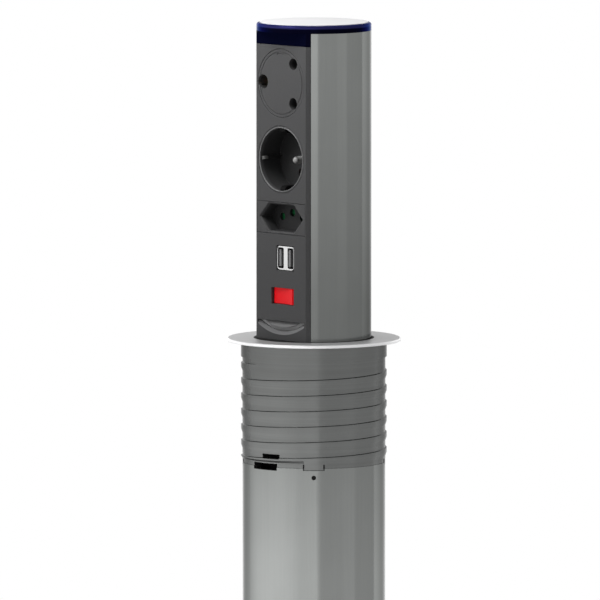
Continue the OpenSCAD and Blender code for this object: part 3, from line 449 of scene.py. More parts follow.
class Axis(Enum):
    """Directions along which a finish changes its colour."""

    DEPTH = 1
    HEIGHT = 2
    RADIUS = 3


@dataclass(frozen=True)
class GradedFinish(Finish):
    """A finish whose colour changes along one direction of the object, in millimetres."""

    second: Colour = (0.01, 0.01, 0.01)
    along: Axis = Axis.DEPTH
    start: float = 0.0
    end: float = 1.0

    def _body(self, graph: Graph, grain: bpy.types.Node) -> Socket:
        """Blends the grain's colour into the second one.

        Args:
            graph: The material's graph.
            grain: The grain group.

        Returns:
            The blended colour.
        """
        parts = graph.split(graph.here())
        if self.along is Axis.RADIUS:
            where = graph.length(graph.join(parts[0], parts[1]))
        else:
            where = parts[self.along.value]
        share = graph.ramp(where, self.start * MM, self.end * MM)
        return graph.mix(share, grain.outputs["Colour"], (*self.second, 1.0))


@dataclass(frozen=True)
class UpFacingPaintedLightFinish(Finish):
    """A finish painted lighter where it faces up between two heights, in millimetres: painted light on
    up-facing surfaces.
    """

    wear_and_lit: Colour = (0.2, 0.2, 0.2)
    low: float = 0.0
    high: float = 1.0
    fade: float = 0.5
    facing_up: Pair = (0.15, 0.45)

    def _body(self, graph: Graph, grain: bpy.types.Node) -> Socket:
        """Blends the grain's colour into the painted lighter one where the surface faces up.

        Args:
            graph: The material's graph.
            grain: The grain group.

        Returns:
            The blended colour.
        """
        height = graph.split(graph.here())[2]
        rise = graph.split(graph.add("ShaderNodeTexCoord").outputs["Normal"])[2]
        above = graph.ramp(height, self.low * MM, (self.low + self.fade) * MM)
        below = graph.ramp(height, (self.high - self.fade) * MM, self.high * MM, 1.0, 0.0)
        between = graph.math("MULTIPLY", above, below)
        share = graph.math("MULTIPLY", between, graph.ramp(rise, *self.facing_up))
        return graph.mix(share, grain.outputs["Colour"], (*self.wear_and_lit, 1.0))


@dataclass(frozen=True)
class ThreadFinish(Finish):
    """A finish under which a thread's long shallow flanks shade nearly as evenly as a plain tube."""

    shallow: float = 0.4
    steep: float = 0.7
    kept: float = 0.12

    def _slope(self, graph: Graph, edges: bpy.types.Node) -> Socket:
        """Evens out the rise of shallow flanks and leaves the steep ones.

        Args:
            graph: The material's graph.
            edges: The group of softened edges.

        Returns:
            The evened normal.
        """
        across, along, rise = graph.split(edges.outputs["Normal"])
        share = graph.ramp(graph.math("ABSOLUTE", rise), self.shallow, self.steep, self.kept)
        evened = graph.join(across, along, graph.math("MULTIPLY", rise, share))
        return graph.add("ShaderNodeVectorMath", evened, operation="NORMALIZE").outputs[0]


# Finely drawn metal of contacts and ports, and fine turning lines.
DRAWN_METAL: dict[str, object] = {"grain": Grain.DRAWN, "scale": 3000.0, "depth": 0.001}
FINE_TURNING: dict[str, object] = {"grain": Grain.TURNED, "scale": 2600.0}

PALETTE: dict[str, Finish] = {
    # Painted highlight: the flange is painted lighter towards its rim, standing in for light on the rim's
    # rounded edge.
    "flange_silver": GradedFinish((0.42, 0.42, 0.424), 0.4, metallic=0.3, **FINE_TURNING, depth=0.002,
                                  mottling=0.04, second=(0.93, 0.93, 0.935), along=Axis.RADIUS,
                                  start=RIM - 1.0, end=RIM - 0.3),
    "seal_rubber": Finish((0.01, 0.01, 0.01), 0.7, depth=0.01, edge=0.3, rubbed=0.02, specular=0.1),
    "collar_grey": ThreadFinish((0.122, 0.125, 0.123), 0.22, metallic=0.65, grain=Grain.TURNED, scale=900.0,
                                depth=0.003, mottling=0.08, rubbed=0.1, specular=0.25,
                                specular_tint=(0.22, 0.22, 0.22)),
    "bush_black": Finish((0.012, 0.012, 0.013), 0.55, rubbed=0.1, specular=0.15),
    "tube_grey": Finish((0.125, 0.129, 0.126), 0.14, metallic=1.0, grain=Grain.DRAWN, scale=1600.0,
                        depth=0.0008, mottling=0.03, specular_tint=(0.43, 0.43, 0.43)),
    "profile_aluminium": Finish((0.112, 0.116, 0.113), 0.12, metallic=1.0, grain=Grain.DRAWN, scale=2600.0,
                                depth=0.0006, mottling=0.03, specular_tint=(0.43, 0.43, 0.43)),
    # Painted light: the fascia is painted lighter where it faces up near the release scoop.
    "fascia_grey": UpFacingPaintedLightFinish((0.103, 0.103, 0.105), 0.5, specular=0.06, wear_and_lit=(0.235, 0.235, 0.238),
                                    low=1.5, high=14.8),
    # Painted shade: the inserts are painted darker deeper into the tower, inside the socket recesses.
    "insert_grey": GradedFinish((0.103, 0.103, 0.105), 0.5, specular=0.06, second=(0.05, 0.05, 0.051),
                                start=FRONT + 0.9, end=FRONT + 4.0),
    # Painted shade: the guide ribs are painted near black, standing in for the dark notches of the round
    # recess.
    "rib_painted_shade": Finish((0.006, 0.006, 0.006), 0.6, rubbed=0.03, specular=0.05),
    # Painted highlight: the bead along the round recess's lip is painted lighter than the insert.
    "lip_highlight_grey": Finish((0.17, 0.17, 0.173), 0.3, depth=0.002, mottling=0.04, specular=0.3),
    # Painted light: the latch is painted lighter than the fascia, and its set-back lower band lighter still,
    # against the shade in the scoop.
    "latch_painted_light_grey": GradedFinish((0.24, 0.24, 0.243), 0.42, specular=0.1, second=(0.48, 0.48, 0.484),
                               start=FRONT + 1.72, end=FRONT + 1.88),
    "contact_brass": Finish((0.72, 0.5, 0.2), 0.3, metallic=1.0, **DRAWN_METAL, mottling=0.08),
    "contact_nickel": Finish((0.5, 0.5, 0.49), 0.4, metallic=0.35, **DRAWN_METAL),
    # Painted shade: the side clip is painted dark deeper into the recess, over its leg.
    "clip_nickel_painted_shade": GradedFinish((0.17, 0.17, 0.167), 0.45, metallic=0.3, **DRAWN_METAL,
                                second=(0.02, 0.02, 0.02), start=FRONT + 4.6, end=FRONT + 6.4),
    # Painted light: the earth pin is painted darker at its tip and lighter along its shank, standing in for
    # the lit side of the shank.
    "pin_nickel_painted_light": GradedFinish((0.24, 0.24, 0.235), 0.4, metallic=0.25, **DRAWN_METAL,
                               second=(0.62, 0.62, 0.61), start=FRONT + 3.6, end=FRONT + 5.6),
    "port_nickel": Finish((0.37, 0.37, 0.37), 0.25, metallic=1.0, **DRAWN_METAL, mottling=0.04, edge=0.5),
    "tongue_grey": Finish((0.17, 0.17, 0.173), 0.35, mottling=0.04),
    "fastener_steel": Finish((0.5, 0.5, 0.5), 0.3, metallic=1.0, grain=Grain.TURNED, scale=3000.0,
                             depth=0.001, mottling=0.06),
    "fastener_black": Finish((0.006, 0.006, 0.006), 0.5, specular=0.1),
    "shutter_green": Finish((0.02, 0.27, 0.085), 0.3, specular=0.4),
    # Painted light: the rocker glows in its own red though it holds no lamp, brighter than its lighting makes
    # it.
    "rocker_red": Finish((0.78, 0.005, 0.011), 0.35, mottling=0.03, edge=0.6, rubbed=0.05, specular=0.08,
                         painted_glow=0.36),
    # Painted light: the light ring is painted brighter blue in a band just below its top, on its up-facing
    # rim.
    "light_blue": GradedFinish((0.0016, 0.0016, 0.0075), 0.15, metallic=0.25, depth=0.001, mottling=0.03,
                               marks=0.03, rubbed=0.02, specular=0.022, specular_tint=(0.4, 0.5, 1.0),
                               ior=1.1, second=(0.021, 0.021, 0.092), along=Axis.HEIGHT,
                               start=RING_TOP - 2.6, end=RING_TOP - 1.5),
    "disc_white": Finish((0.87, 0.87, 0.88), 0.45, **FINE_TURNING, depth=0.001, mottling=0.02),
    "terminal_white": Finish((0.75, 0.75, 0.72), 0.4),
    "board_green": Finish((0.02, 0.14, 0.05), 0.35),
}
# Nodes whose finish differs from that of their slot.
VARIANTS: dict[str, str] = {
    "earth_side_clip": "clip_nickel_painted_shade",
    "earth_pin": "pin_nickel_painted_light",
    "release_latch": "latch_painted_light_grey",
}


def turned(angle: float, axis: str) -> Matrix:
    """Gives a turn about an axis, by an angle in degrees."""
    return Matrix.Rotation(math.radians(angle), 4, axis)


def arc(centre: Pair, radius: float, start: float, end: float, steps: int) -> list[Pair]:
    """Gives points along an arc.

    Args:
        centre: The arc's centre.
        radius: Its radius.
        start: First angle, in degrees.
        end: Last angle, in degrees.
        steps: Steps from the first to the last point.

    Returns:
        The points.
    """
    turns = [math.radians(start + (end - start) * step / steps) for step in range(steps + 1)]
    return [(centre[0] + radius * math.cos(turn), centre[1] + radius * math.sin(turn)) for turn in turns]


def rounded_outline(middle: float, size: Pair, radius: float) -> list[Pair]:
    """Gives the outline of a rectangle with round corners.

    Args:
        middle: How far to the right its middle lies.
        size: Its width and height.
        radius: Radius of its corners.

    Returns:
        The outline's points.
    """
    points: list[Pair] = []
    for quarter, (side, rise) in enumerate(((1, 1), (-1, 1), (-1, -1), (1, -1))):
        corner = (middle + side * (size[0] / 2 - radius), rise * (size[1] / 2 - radius))
        points += arc(corner, radius, 90.0 * quarter, 90.0 * (quarter + 1), CORNER_STEPS)
    return points


def draw(curve: bpy.types.Curve, points: Sequence[Sequence[float]], closed: bool = False) -> None:
    """Draws a line of straight steps in a curve.

    Args:
        curve: The curve.
        points: The line's points, in metres.
        closed: Whether the last point joins the first.
    """
    line = curve.splines.new("POLY")
    line.points.add(len(points) - 1)
    for point, place in zip(line.points, points):
        point.co = (*place, 1.0)
    line.use_cyclic_u = closed


def curve_mesh(curve: bpy.types.Curve) -> bpy.types.Mesh:
    """Turns a curve into a mesh.

    Args:
        curve: The curve, which is used up.

    Returns:
        Its mesh.
    """
    holder = bpy.data.objects.new(curve.name, curve)
    mesh = bpy.data.meshes.new_from_object(holder)
    bpy.data.objects.remove(holder)
    bpy.data.curves.remove(curve)
    return mesh


def cut_plate(loops: Sequence[Sequence[Pair]], thickness: float, edge: float) -> bpy.types.Mesh:
    """Makes a flat plate with holes and rounded edges.

    Args:
        loops: The outline first, then the holes, in millimetres.
        thickness: The plate's thickness.
        edge: Radius of its edges.

    Returns:
        The plate's mesh, centred on its own plane.
    """
    curve = bpy.data.curves.new("plate", "CURVE")
    curve.dimensions, curve.fill_mode = "2D", "BOTH"
    curve.extrude = (thickness / 2 - edge) * MM
    curve.bevel_depth, curve.bevel_resolution, curve.offset = edge * MM, EDGE_STEPS, -edge * MM
    for loop in loops:
        draw(curve, [(across * MM, rise * MM, 0.0) for across, rise in loop], closed=True)
    return curve_mesh(curve)


def gathered(*meshes: bpy.types.Mesh) -> bmesh.types.BMesh:
    """Puts meshes into one shape.

    Args:
        meshes: The meshes, which are used up.

    Returns:
        The shape.
    """
    shape = bmesh.new()
    for mesh in meshes:
        shape.from_mesh(mesh)
        bpy.data.meshes.remove(mesh)
    return shape


def cleaned(shape: bmesh.types.BMesh) -> bmesh.types.BMesh:
    """Joins points that fall together and turns the faces outward.

    Args:
        shape: The shape to clean.

    Returns:
        The same shape.
    """
    bmesh.ops.remove_doubles(shape, verts=shape.verts[:], dist=SAME_POINT)
    bmesh.ops.recalc_face_normals(shape, faces=shape.faces[:])
    return shape


def placed(name: str, shape: bmesh.types.BMesh, place: Matrix | None = None) -> bpy.types.Object:
    """Makes a smooth object of a finished shape.

    Args:
        name: The new piece's name.
        shape: Its shape, which is used up.
        place: Where it goes in the object, if it isn't there already.

    Returns:
        The new piece.
    """
    if place is not None:
        shape.transform(place)
    for face in shape.faces:
        face.smooth = True
    mesh = bpy.data.meshes.new(name)
    shape.to_mesh(mesh)
    shape.free()
    piece = bpy.data.objects.new(name, mesh)
    bpy.context.scene.collection.objects.link(piece)
    return piece


def spun(name: str, outline: Sequence[Pair], place: Matrix, steps: int,
         closed: bool = False) -> bpy.types.Object:
    """Turns an outline once round its own Z axis.

    Args:
        name: The new piece's name.
        outline: Radius and height of each point, in millimetres.
        place: Where the axis goes in the object, in metres.
        steps: Steps of the turn.
        closed: Whether the outline's last point joins its first.

    Returns:
        The new piece.
    """
    shape = bmesh.new()
    points = [shape.verts.new((radius * MM, 0.0, height * MM)) for radius, height in outline]
    ends = points[1:] + points[:1] if closed else points[1:]
    edges = [shape.edges.new(pair) for pair in zip(points, ends)]
    bmesh.ops.spin(shape, geom=points + edges, cent=(0.0, 0.0, 0.0), axis=(0.0, 0.0, 1.0), angle=math.tau,
                   steps=steps)
    return placed(name, cleaned(shape), place)


def bars(name: str, size: Vector, places: Sequence[Matrix]) -> bpy.types.Object:
    """Makes equal bars with softened edges, as one piece.

    Args:
        name: The new piece's name.
        size: Size of each bar, in metres.
        places: Where each bar goes in the object.

    Returns:
        The new piece.
    """
    shape = bmesh.new()
    for place in places:
        bar = bmesh.ops.create_cube(shape, size=1.0)["verts"]
        bmesh.ops.scale(shape, vec=size, verts=bar)
        bmesh.ops.transform(shape, matrix=place, verts=bar)
    bmesh.ops.bevel(shape, geom=shape.edges[:], offset=BAR_EDGE, segments=EDGE_STEPS, affect="EDGES")
    return placed(name, shape)


@dataclass
class Workshop:
    """Holds what the sub-assemblies share: finished materials and the shading of carried-over solids."""

    smooth_angle: float = 28.0
    same_point: float = 0.002
    materials: dict[str, bpy.types.Material] = field(init=False)
    slots: dict[str, str] = field(init=False)
    shading: bpy.types.NodeTree = field(init=False)

    def __post_init__(self) -> None:
        """Builds the effects, every finish and the shading group."""
        effects = Effects()
        self.materials = {name: finish.material(name, effects) for name, finish in PALETTE.items()}
        self.slots = {row["node"]: row["material_slot"] for row in frame["record"]["subparts"]}
        self.shading = self._even_shading()

    def _even_shading(self) -> bpy.types.NodeTree:
        """Builds the geometry group that joins a solid's facets and shades them by angle.

        Returns:
            The geometry node group.
        """
        tree = bpy.data.node_groups.new("even_shading", "GeometryNodeTree")
        for side in ("INPUT", "OUTPUT"):
            tree.interface.new_socket("Geometry", in_out=side, socket_type="NodeSocketGeometry")
        graph = Graph(tree)
        given, result = graph.add("NodeGroupInput"), graph.add("NodeGroupOutput")
        plain = graph.add("GeometryNodeRemoveAttribute", given.outputs[0])
        plain.inputs["Name"].default_value = "custom_normal"
        merged = graph.add("GeometryNodeMergeByDistance", plain.outputs[0])
        merged.inputs["Distance"].default_value = self.same_point * MM
        faces = graph.add("GeometryNodeSetShadeSmooth", merged.outputs[0], domain="FACE")
        edges = graph.add("GeometryNodeSetShadeSmooth", faces.outputs[0], domain="EDGE")
        angle = graph.add("GeometryNodeInputMeshEdgeAngle").outputs["Unsigned Angle"]
        graph.feed(edges.inputs["Shade Smooth"],
                   graph.math("LESS_THAN", angle, math.radians(self.smooth_angle)))
        graph.feed(result.inputs[0], edges.outputs[0])
        return tree

    def dress_node(self, name: str) -> None:
        """Gives a carried-over solid its finish and even shading.

        Args:
            name: The node's name.
        """
        node = frame["nodes"][name]
        node.data.materials.clear()
        node.data.materials.append(self.materials[VARIANTS.get(name, self.slots[name])])
        node.modifiers.new("even_shading", "NODES").node_group = self.shading

    def dress_piece(self, piece: bpy.types.Object, slot: str, body: str,
                    finish: str = "") -> bpy.types.Object:
        """Gives a new piece its finish and lets it ride on a body.

        Args:
            piece: The new piece.
            slot: Slot of its material.
            body: Body that it moves with.
            finish: Variant of the slot's finish, if it has one.

        Returns:
            The piece.
        """
        piece.data.materials.clear()
        piece.data.materials.append(self.materials[finish or slot])
        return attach(piece, body)


@dataclass
class SubAssembly:
    """Pieces that are put together as one; sizes are in millimetres and angles in degrees."""

    shop: Workshop
    nodes: tuple[str, ...] = ()

    def build(self) -> list[bpy.types.Object]:
        """Makes the sub-assembly's own pieces, of which the base has none."""
        return []

    def dress(self) -> None:
        """Dresses the carried-over solids and makes the own pieces, and reports each."""
        for name in self.nodes:
            self.shop.dress_node(name)
            log.info("%s: dressed %s", type(self).__name__, name)
        for piece in self.build():
            log.info("%s: made %s", type(self).__name__, piece.name)


@dataclass
class DeskFlange(SubAssembly):
    """Silver flange ring and the black seal round the tower."""

    nodes: tuple[str, ...] = ("desk_flange", "wiper_seal")


@dataclass
class ThreadedHousing(SubAssembly):
    """Threaded collar, hanging tube and what is fixed in them."""

    nodes: tuple[str, ...] = ("threaded_collar", "guide_bush", "outer_tube", "tube_end_ring",
                              "end_ring_rivets", "collar_screws")
    rivet_head_r: float = 2.8
    rivet_head_t: float = 0.6
    rivet_r: float = 1.5
    rivet_l: float = 11.6
    rivet_turns: tuple[float, ...] = (0.0, 120.0, 240.0)
    rivet_steps: int = 48
    crown_steps: int = 10
    tab_turns: tuple[float, ...] = (47.8, 137.8, 227.8, 317.8)
    tab_w: float = 12.2
    # Painted shade: black strips beside the collar's tabs stand in for the shadowed gaps there.
    shade_strip_w: float = 0.9
    shade_strip_t: float = 0.6
    shade_strip_proud: float = 0.2
    shade_strip_h: float = 3.9
    shoulder_step: float = 0.4

    def build(self) -> list[bpy.types.Object]:
        """Makes the domed rivets of the tube's foot and the black strips beside the collar's tabs, which are
        painted shade for the gaps there.
        """
        return [*self._rivets(), self._shade_strips()]

    def _rivets(self) -> list[bpy.types.Object]:
        """Makes the domed rivets.

        Returns:
            The rivets.
        """
        low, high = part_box("end_ring_rivets")
        dome_r = (self.rivet_head_r ** 2 + self.rivet_head_t ** 2) / (2 * self.rivet_head_t)
        spread = math.degrees(math.asin(self.rivet_head_r / dome_r))
        outline = [*arc((0.0, -dome_r), dome_r, 90.0, 90.0 - spread, self.crown_steps),
                   (self.rivet_r, -self.rivet_head_t), (self.rivet_r, -self.rivet_l), (0.0, -self.rivet_l)]
        outward = Matrix.Translation((0.0, low[1], (low[2] + high[2]) / 2)) @ turned(90.0, "X")
        rivets = []
        for turn in self.rivet_turns:
            rivet = spun(f"rivet_{turn:.0f}", outline, turned(turn, "Z") @ outward, self.rivet_steps)
            rivets.append(self.shop.dress_piece(rivet, "fastener_steel", "housing"))
            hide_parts("end_ring_rivets")
        return rivets

    def _shade_strips(self) -> bpy.types.Object:
        """Makes the black strips on both sides of each tab of the collar: painted shade standing in for the
        shadowed gaps beside the tabs.

        Returns:
            The strips, as one piece.
        """
        tube_r, _, tube_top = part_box("outer_tube")[1]
        shoulder = tube_r - self.shoulder_step * MM
        reach = (self.tab_w + self.shade_strip_w) / 2 * MM
        size = Vector((self.shade_strip_w, self.shade_strip_t, self.shade_strip_h)) * MM
        out = math.sqrt(shoulder ** 2 - reach ** 2) + (self.shade_strip_proud - self.shade_strip_t / 2) * MM
        places = [turned(turn, "Z") @ Matrix.Translation((side * reach, -out, tube_top + size[2] / 2))
                  for turn in self.tab_turns for side in (-1, 1)]
        return self.shop.dress_piece(bars("tab_shade_strips", size, places), "fastener_black", "housing")


@dataclass
class TowerShell(SubAssembly):
    """Aluminium profile and its front strips."""

    nodes: tuple[str, ...] = ("tower_profile", "front_fascia", "terminal_cover")


@dataclass
class LightCap(SubAssembly):
    """Blue light ring with its pale disc."""

    nodes: tuple[str, ...] = ("light_ring", "led_board", "top_disc", "cap_screws")


@dataclass
class Sockets(SubAssembly):
    """Three sockets with their contacts, bars and screws."""

    nodes: tuple[str, ...] = (
        "round_pin_insert", "round_pin_contacts", "earth_pin_insert", "earth_pin", "earth_pin_contacts",
        "earth_side_clip", "hex_insert", "hex_cover", "hex_contacts", "hex_shutter", "insert_screws",
        "live_bar", "live_feed_bar", "neutral_bar", "earth_bar", "terminal_block", "terminal_screws")
    lip_r: float = 20.6
    lip_sunk: float = 0.3
    lip_steps: int = 160
    bead_r: float = 0.46
    bead_steps: int = 12
    recess_r: float = 20.3
    rib_w: float = 5.0
    rib_h: float = 3.2
    rib_root: float = 0.4
    rib_start: float = 1.4
    rib_end: float = 14.0
    rib_edge: float = 0.35

    def build(self) -> list[bpy.types.Object]:
        """Makes the smooth bead along the round recess's lip, painted lighter as a painted highlight, and the
        guide ribs inside it, painted near black as painted shade.

        Returns:
            The bead and the ribs.
        """
        low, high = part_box("earth_pin_insert")
        middle = (low[2] + high[2]) / 2
        place = Matrix.Translation((0.0, (FRONT + self.lip_sunk) * MM, middle)) @ turned(-90.0, "X")
        outline = arc((self.lip_r, 0.0), self.bead_r, 0.0, 360.0, self.bead_steps)[:-1]
        bead = spun("recess_bead", outline, place, self.lip_steps, closed=True)
        # Painted highlight: the bead is painted lighter than the insert around it.
        self.shop.dress_piece(bead, "insert_grey", "tower", "lip_highlight_grey")
        return [bead, self._rib("lower_guide_rib", middle, -1), self._rib("upper_guide_rib", middle, 1)]

    def _rib(self, name: str, middle: float, side: int) -> bpy.types.Object:
        """Makes a guide rib that stands in one of the recess's grooves, painted near black as painted shade
        for the groove's dark notch.

        Args:
            name: The rib's name.
            middle: Height of the recess's centre, in metres.
            side: 1 for the groove above, -1 for the one below.

        Returns:
            The rib.
        """
        root, top = self.recess_r + self.rib_root, self.recess_r - self.rib_h
        slope = self.rib_h / 2
        outline = [(self.rib_start, root), (self.rib_start, top + slope), (self.rib_start + slope, top),
                   (self.rib_end, top), (self.rib_end, root)]
        plate = cut_plate([[(depth, side * height) for depth, height in outline]], self.rib_w, self.rib_edge)
        # The plate's first direction goes into the tower, its second one up.
        upright = Matrix(((0.0, 0.0, 1.0), (1.0, 0.0, 0.0), (0.0, 1.0, 0.0))).to_4x4()
        rib = placed(name, gathered(plate), Matrix.Translation((0.0, FRONT * MM, middle)) @ upright)
        return self.shop.dress_piece(rib, "insert_grey", "tower", "rib_painted_shade")


@dataclass
class ChargerPorts(SubAssembly):
    """Double charging port on its board."""

    nodes: tuple[str, ...] = ("usb_shell", "usb_tongues", "usb_board", "board_screws")
    shell_corner_r: float = 2.6
    shell_edge: float = 0.18
    back_t: float = 1.0
    port_size: Pair = (5.7, 13.2)
    port_at: float = 4.65
    port_corner_r: float = 1.0
    tongue_t: float = 1.9
    strip_rows: tuple[float, ...] = (-3.5, -1.0, 1.0, 3.5)
    strip_w: float = 1.0
    strip_t: float = 0.2
    strip_sunk: float = 2.5
    strip_l: float = 7.0

    def build(self) -> list[bpy.types.Object]:
        """Makes the folded shell and the contact strips."""
        return [self._shell(), self._strips()]

    def _shell(self) -> bpy.types.Object:
        """Makes the metal shell with its two ports and rounded front edges.

        Returns:
            The shell.
        """
        low, high = (Vector(corner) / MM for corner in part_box("usb_shell"))
        size, centre = high - low, (low + high) / 2
        depth = size[1] - self.back_t
        outer = rounded_outline(0.0, (size[0], size[2]), self.shell_corner_r)
        ports = [rounded_outline(side * self.port_at, self.port_size, self.port_corner_r) for side in (-1, 1)]
        plates = []
        for loops, start, length in (([outer, *ports], low[1], depth),
                                     ([outer], low[1] + depth, self.back_t)):
            middle = Vector((centre[0], start + length / 2, centre[2])) * MM
            plate = cut_plate(loops, length, self.shell_edge)
            plate.transform(Matrix.Translation(middle) @ turned(90.0, "X"))
            plates.append(plate)
        shell = placed("port_shell", gathered(*plates))
        self.shop.dress_piece(shell, "port_nickel", "tower")
        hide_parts("usb_shell")
        return shell

    def _strips(self) -> bpy.types.Object:
        """Makes the contact strips on the tongues.

        Returns:
            The strips, as one piece.
        """
        low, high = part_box("usb_tongues")
        size = Vector((2 * self.strip_t, self.strip_l, self.strip_w)) * MM
        depth, middle = low[1] + self.strip_sunk * MM + size[1] / 2, (low[2] + high[2]) / 2
        places = [Matrix.Translation((side, depth, middle + row * MM))
                  for side in (low[0] + self.tongue_t * MM, high[0]) for row in self.strip_rows]
        return self.shop.dress_piece(bars("port_contacts", size, places), "contact_brass", "tower")


@dataclass
class RockerSwitch(SubAssembly):
    """Red rocker in its black body."""

    nodes: tuple[str, ...] = ("switch_body", "switch_terminals", "rocker")


@dataclass
class ReleaseLatch(SubAssembly):
    """Scooped release with its spring and bracket."""

    nodes: tuple[str, ...] = ("release_latch", "latch_spring", "latch_bracket", "bracket_screws")
    wire_r: float = 0.35
    coil_turns: int = 6
    turn_steps: int = 24
    press: float = 5.0

    def build(self) -> list[bpy.types.Object]:
        """Makes the wire coil that pushes the latch out."""
        return [self._coil()]

    def _coil(self) -> bpy.types.Object:
        """Winds the return spring between the latch and its bracket.

        Returns:
            The spring.
        """
        low, high = (Vector(corner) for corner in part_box("latch_spring"))
        middle, length = (low + high) / 2, high.y - low.y
        wire = self.wire_r * MM
        radius, run = (high.x - low.x) / 2 - wire, length - 2 * wire
        steps = self.coil_turns * self.turn_steps
        curve = bpy.data.curves.new("coil", "CURVE")
        curve.dimensions, curve.use_fill_caps = "3D", True
        curve.bevel_depth, curve.bevel_resolution = wire, EDGE_STEPS
        turns = [math.tau * step / self.turn_steps for step in range(steps + 1)]
        draw(curve, [(middle.x + radius * math.cos(turn), low.y + wire + run * step / steps,
                      middle.z + radius * math.sin(turn)) for step, turn in enumerate(turns)])
        coil = placed("latch_coil", cleaned(gathered(curve_mesh(curve))))
        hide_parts("latch_spring")
        self.shop.dress_piece(coil, self.shop.slots["latch_spring"], "tower")
        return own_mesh(coil)


@dataclass
class TowerFoot(SubAssembly):
    """Foot that runs in the tube, with the cable gland."""

    nodes: tuple[str, ...] = ("tower_base", "glide_ring", "base_screws", "cable_gland", "gland_nut")


@dataclass(frozen=True)
class Panel:
    """An upright soft light, placed by the angles of its edges seen from the object, right of the camera."""

    name: str
    left: float
    right: float
    radiance: float
    reach: float = 0.8
    low: float = -0.31
    high: float = 0.6
    feathered: bool = False


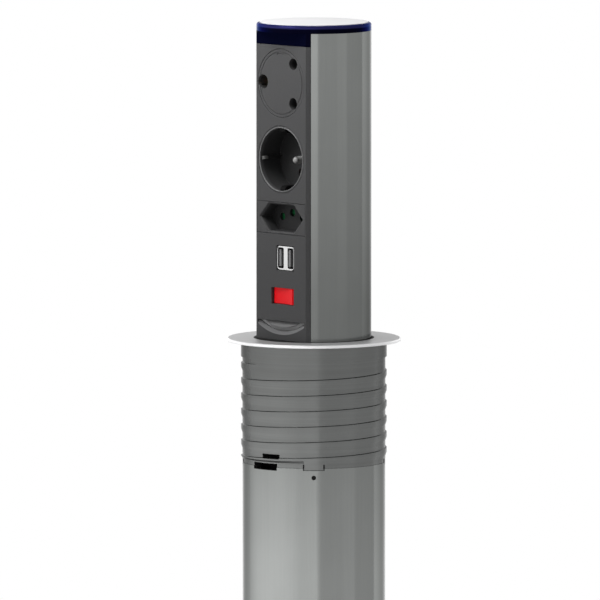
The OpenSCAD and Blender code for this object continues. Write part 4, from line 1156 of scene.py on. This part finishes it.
@dataclass
class Studio:
    """Floor, soft light, white surroundings and the camera, in metres and degrees."""

    azimuth: float = 47.89
    elevation: float = 5.444
    distance: float = 8.36
    view_end: float = 200.0
    pixels_per_mm: float = 1.5524
    origin_pixel: Pair = (313.87, 340.2)
    image_size: float = 600.0
    sensor: float = 36.0
    floor_radius: float = 4.0
    floor_sides: int = 96
    floor_gap: float = 0.2 * MM
    floor_tone: Colour = (0.86, 0.86, 0.86)
    floor_fade: Pair = (0.25, 0.9)
    world_light: float = 0.22
    panels: tuple[Panel, ...] = (
        Panel("wide_panel", -58.0, 8.0, 1.8),
        Panel("far_left_panel", -124.0, -58.0, 1.8),
        Panel("back_left_panel", -168.0, -124.0, 1.35),
        Panel("low_left_panel", -118.0, -22.0, 0.55, reach=0.75, high=-0.14, feathered=True),
        Panel("right_panel", 8.0, 47.0, 0.73),
        Panel("line_panel", 47.0, 68.0, 0.82),
        Panel("far_right_panel", 68.0, 112.0, 0.55),
        Panel("back_right_panel", 112.0, 165.0, 1.4),
    )
    # Height and share of a panel's brightness there.
    falloff: tuple[Pair, ...] = (
        (-0.31, 1.3), (-0.25, 1.15), (-0.19, 0.86), (-0.14, 0.5), (-0.07, 0.23), (0.03, 0.71), (0.12, 1.06),
        (0.6, 0.0))
    key_turn: float = -62.0
    key_lift: float = 40.0
    key_reach: float = 0.34
    key_size: float = 0.2
    key_radiance: float = 8.3
    top_size: float = 1.2
    top_height: float = 1.1
    top_radiance: float = 0.4

    def _toward(self, turn: float, lift: float = 0.0) -> Vector:
        """Gives a direction away from the object.

        Args:
            turn: Angle to the right of the camera, in degrees.
            lift: Angle above the level, in degrees.

        Returns:
            The unit vector.
        """
        turn, lift = math.radians(self.azimuth + turn), math.radians(lift)
        return Vector((math.sin(turn) * math.cos(lift), -math.cos(turn) * math.cos(lift), math.sin(lift)))

    def place_camera(self) -> None:
        """Puts the camera where the object was seen from and makes it the scene's own."""
        right, back = self._toward(90.0), self._toward(0.0, self.elevation)
        up = back.cross(right)
        off = [(self.image_size / 2 - pixel) / self.pixels_per_mm * MM for pixel in self.origin_pixel]
        lens = bpy.data.cameras.new("camera")
        lens.sensor_width, lens.clip_end = self.sensor, self.view_end
        lens.lens = self.pixels_per_mm / MM * self.distance * self.sensor / self.image_size
        camera = bpy.data.objects.new("camera", lens)
        camera.location = right * off[0] - up * off[1] + back * self.distance
        camera.rotation_euler = back.to_track_quat("Z", "Y").to_euler()
        bpy.context.scene.collection.objects.link(camera)
        bpy.context.scene.camera = camera

    @staticmethod
    def _hang(name: str, place: Vector, aim: Vector, size: Pair, radiance: float,
              diffuse: bool = True) -> bpy.types.AreaLight:
        """Hangs one soft panel that the camera doesn't see.

        Args:
            name: The panel's name.
            place: Its centre.
            aim: Direction from what it lights to the panel.
            size: Width and height.
            radiance: Brightness of its face.
            diffuse: Whether it lights matt surfaces, and not only shows in glossy ones.

        Returns:
            The panel's lamp.
        """
        lamp = bpy.data.lights.new(name, "AREA")
        lamp.shape = "RECTANGLE"
        lamp.size, lamp.size_y = size
        lamp.energy = radiance * math.pi * size[0] * size[1]
        panel = bpy.data.objects.new(name, lamp)
        panel.location = place
        panel.rotation_euler = aim.to_track_quat("Z", "Y").to_euler()
        panel.visible_camera = False
        panel.visible_diffuse = diffuse
        bpy.context.scene.collection.objects.link(panel)
        return lamp

    def _fade(self, lamp: bpy.types.AreaLight, panel: Panel) -> None:
        """Lets a panel's brightness change with its height, and fall off to its sides if it is feathered.

        Args:
            lamp: The panel's lamp.
            panel: What the lamp stands for.
        """
        graph = Graph.fresh(lamp)
        across, upward, _ = graph.split(graph.add("ShaderNodeNewGeometry").outputs["Parametric"])
        ramp = graph.add("ShaderNodeValToRGB", upward)
        ramp.color_ramp.interpolation = "EASE"
        stops = ramp.color_ramp.elements
        while len(stops) < len(self.falloff):
            stops.new(1.0)
        for stop, (height, share) in zip(stops, self.falloff):
            stop.position = (height - panel.low) / (panel.high - panel.low)
            stop.color = (share, share, share, 1.0)
        strength = ramp.outputs[0]
        if panel.feathered:
            # A bow from 0 at both sides to 1 in the middle.
            bow = graph.math("MULTIPLY", across, graph.math("SUBTRACT", 1.0, across))
            strength = graph.math("MULTIPLY", strength, graph.math("MULTIPLY", bow, 4.0))
        emission = graph.add("ShaderNodeEmission", WHITE, strength)
        graph.add("ShaderNodeOutputLight", emission.outputs[0])

    def light(self) -> None:
        """Hangs the upright panels round the object, the key lamp near its top and one panel above."""
        up = Vector((0.0, 0.0, 1.0))
        for panel in self.panels:
            aim = self._toward((panel.left + panel.right) / 2)
            width = 2 * panel.reach * math.tan(math.radians(panel.right - panel.left) / 2)
            place = aim * panel.reach + up * ((panel.low + panel.high) / 2)
            lamp = self._hang(panel.name, place, aim, (width, panel.high - panel.low), panel.radiance,
                              diffuse=False)
            self._fade(lamp, panel)
        aim = self._toward(self.key_turn, self.key_lift)
        self._hang("key_lamp", up * CAD_BOX[1][2] + aim * self.key_reach, aim, (self.key_size, self.key_size),
                   self.key_radiance)
        self._hang("top_panel", up * self.top_height, up, (self.top_size, self.top_size), self.top_radiance)

    def surround(self) -> None:
        """Makes the world white to the camera and in reflections, and softer as a light."""
        world = bpy.data.worlds.new("surroundings")
        graph = Graph.fresh(world)
        seen = graph.rays("Is Camera Ray", "Is Transmission Ray", "Is Glossy Ray")
        soft = graph.add("ShaderNodeBackground", WHITE, self.world_light)
        white = graph.add("ShaderNodeBackground", WHITE)
        graph.add("ShaderNodeOutputWorld", graph.blend(seen, soft, white))
        bpy.context.scene.world = world

    def lay_floor(self) -> None:
        """Lays a pale round floor that takes the object's shadow and fades to white far off."""
        shape = bmesh.new()
        bmesh.ops.create_circle(shape, cap_ends=True, segments=self.floor_sides, radius=self.floor_radius)
        floor = placed("floor", shape)
        floor.location.z = CAD_BOX[0][2] - self.floor_gap
        made = bpy.data.materials.new("floor")
        graph = Graph.fresh(made)
        far = graph.ramp(graph.length(graph.here()), *self.floor_fade)
        share = graph.math("MULTIPLY", far, graph.rays("Is Camera Ray", "Is Glossy Ray"))
        matt = graph.add("ShaderNodeBsdfDiffuse", (*self.floor_tone, 1.0))
        white = graph.add("ShaderNodeEmission", WHITE)
        graph.add("ShaderNodeOutputMaterial", graph.blend(share, matt, white))
        floor.data.materials.append(made)

    def set_up(self) -> None:
        """Sets up the whole studio."""
        bpy.context.scene.view_settings.view_transform = "Standard"
        self.place_camera()
        self.surround()
        self.light()
        self.lay_floor()


def main() -> None:
    """Builds the sub-assemblies and the studio in order."""
    logging.basicConfig(level=logging.INFO, format="%(message)s")
    Studio().set_up()
    shop = Workshop()
    for part in (DeskFlange, ThreadedHousing, TowerShell, LightCap, Sockets, ChargerPorts, RockerSwitch,
                 ReleaseLatch, TowerFoot):
        part(shop).dress()


if __name__ == "__main__":
    main()
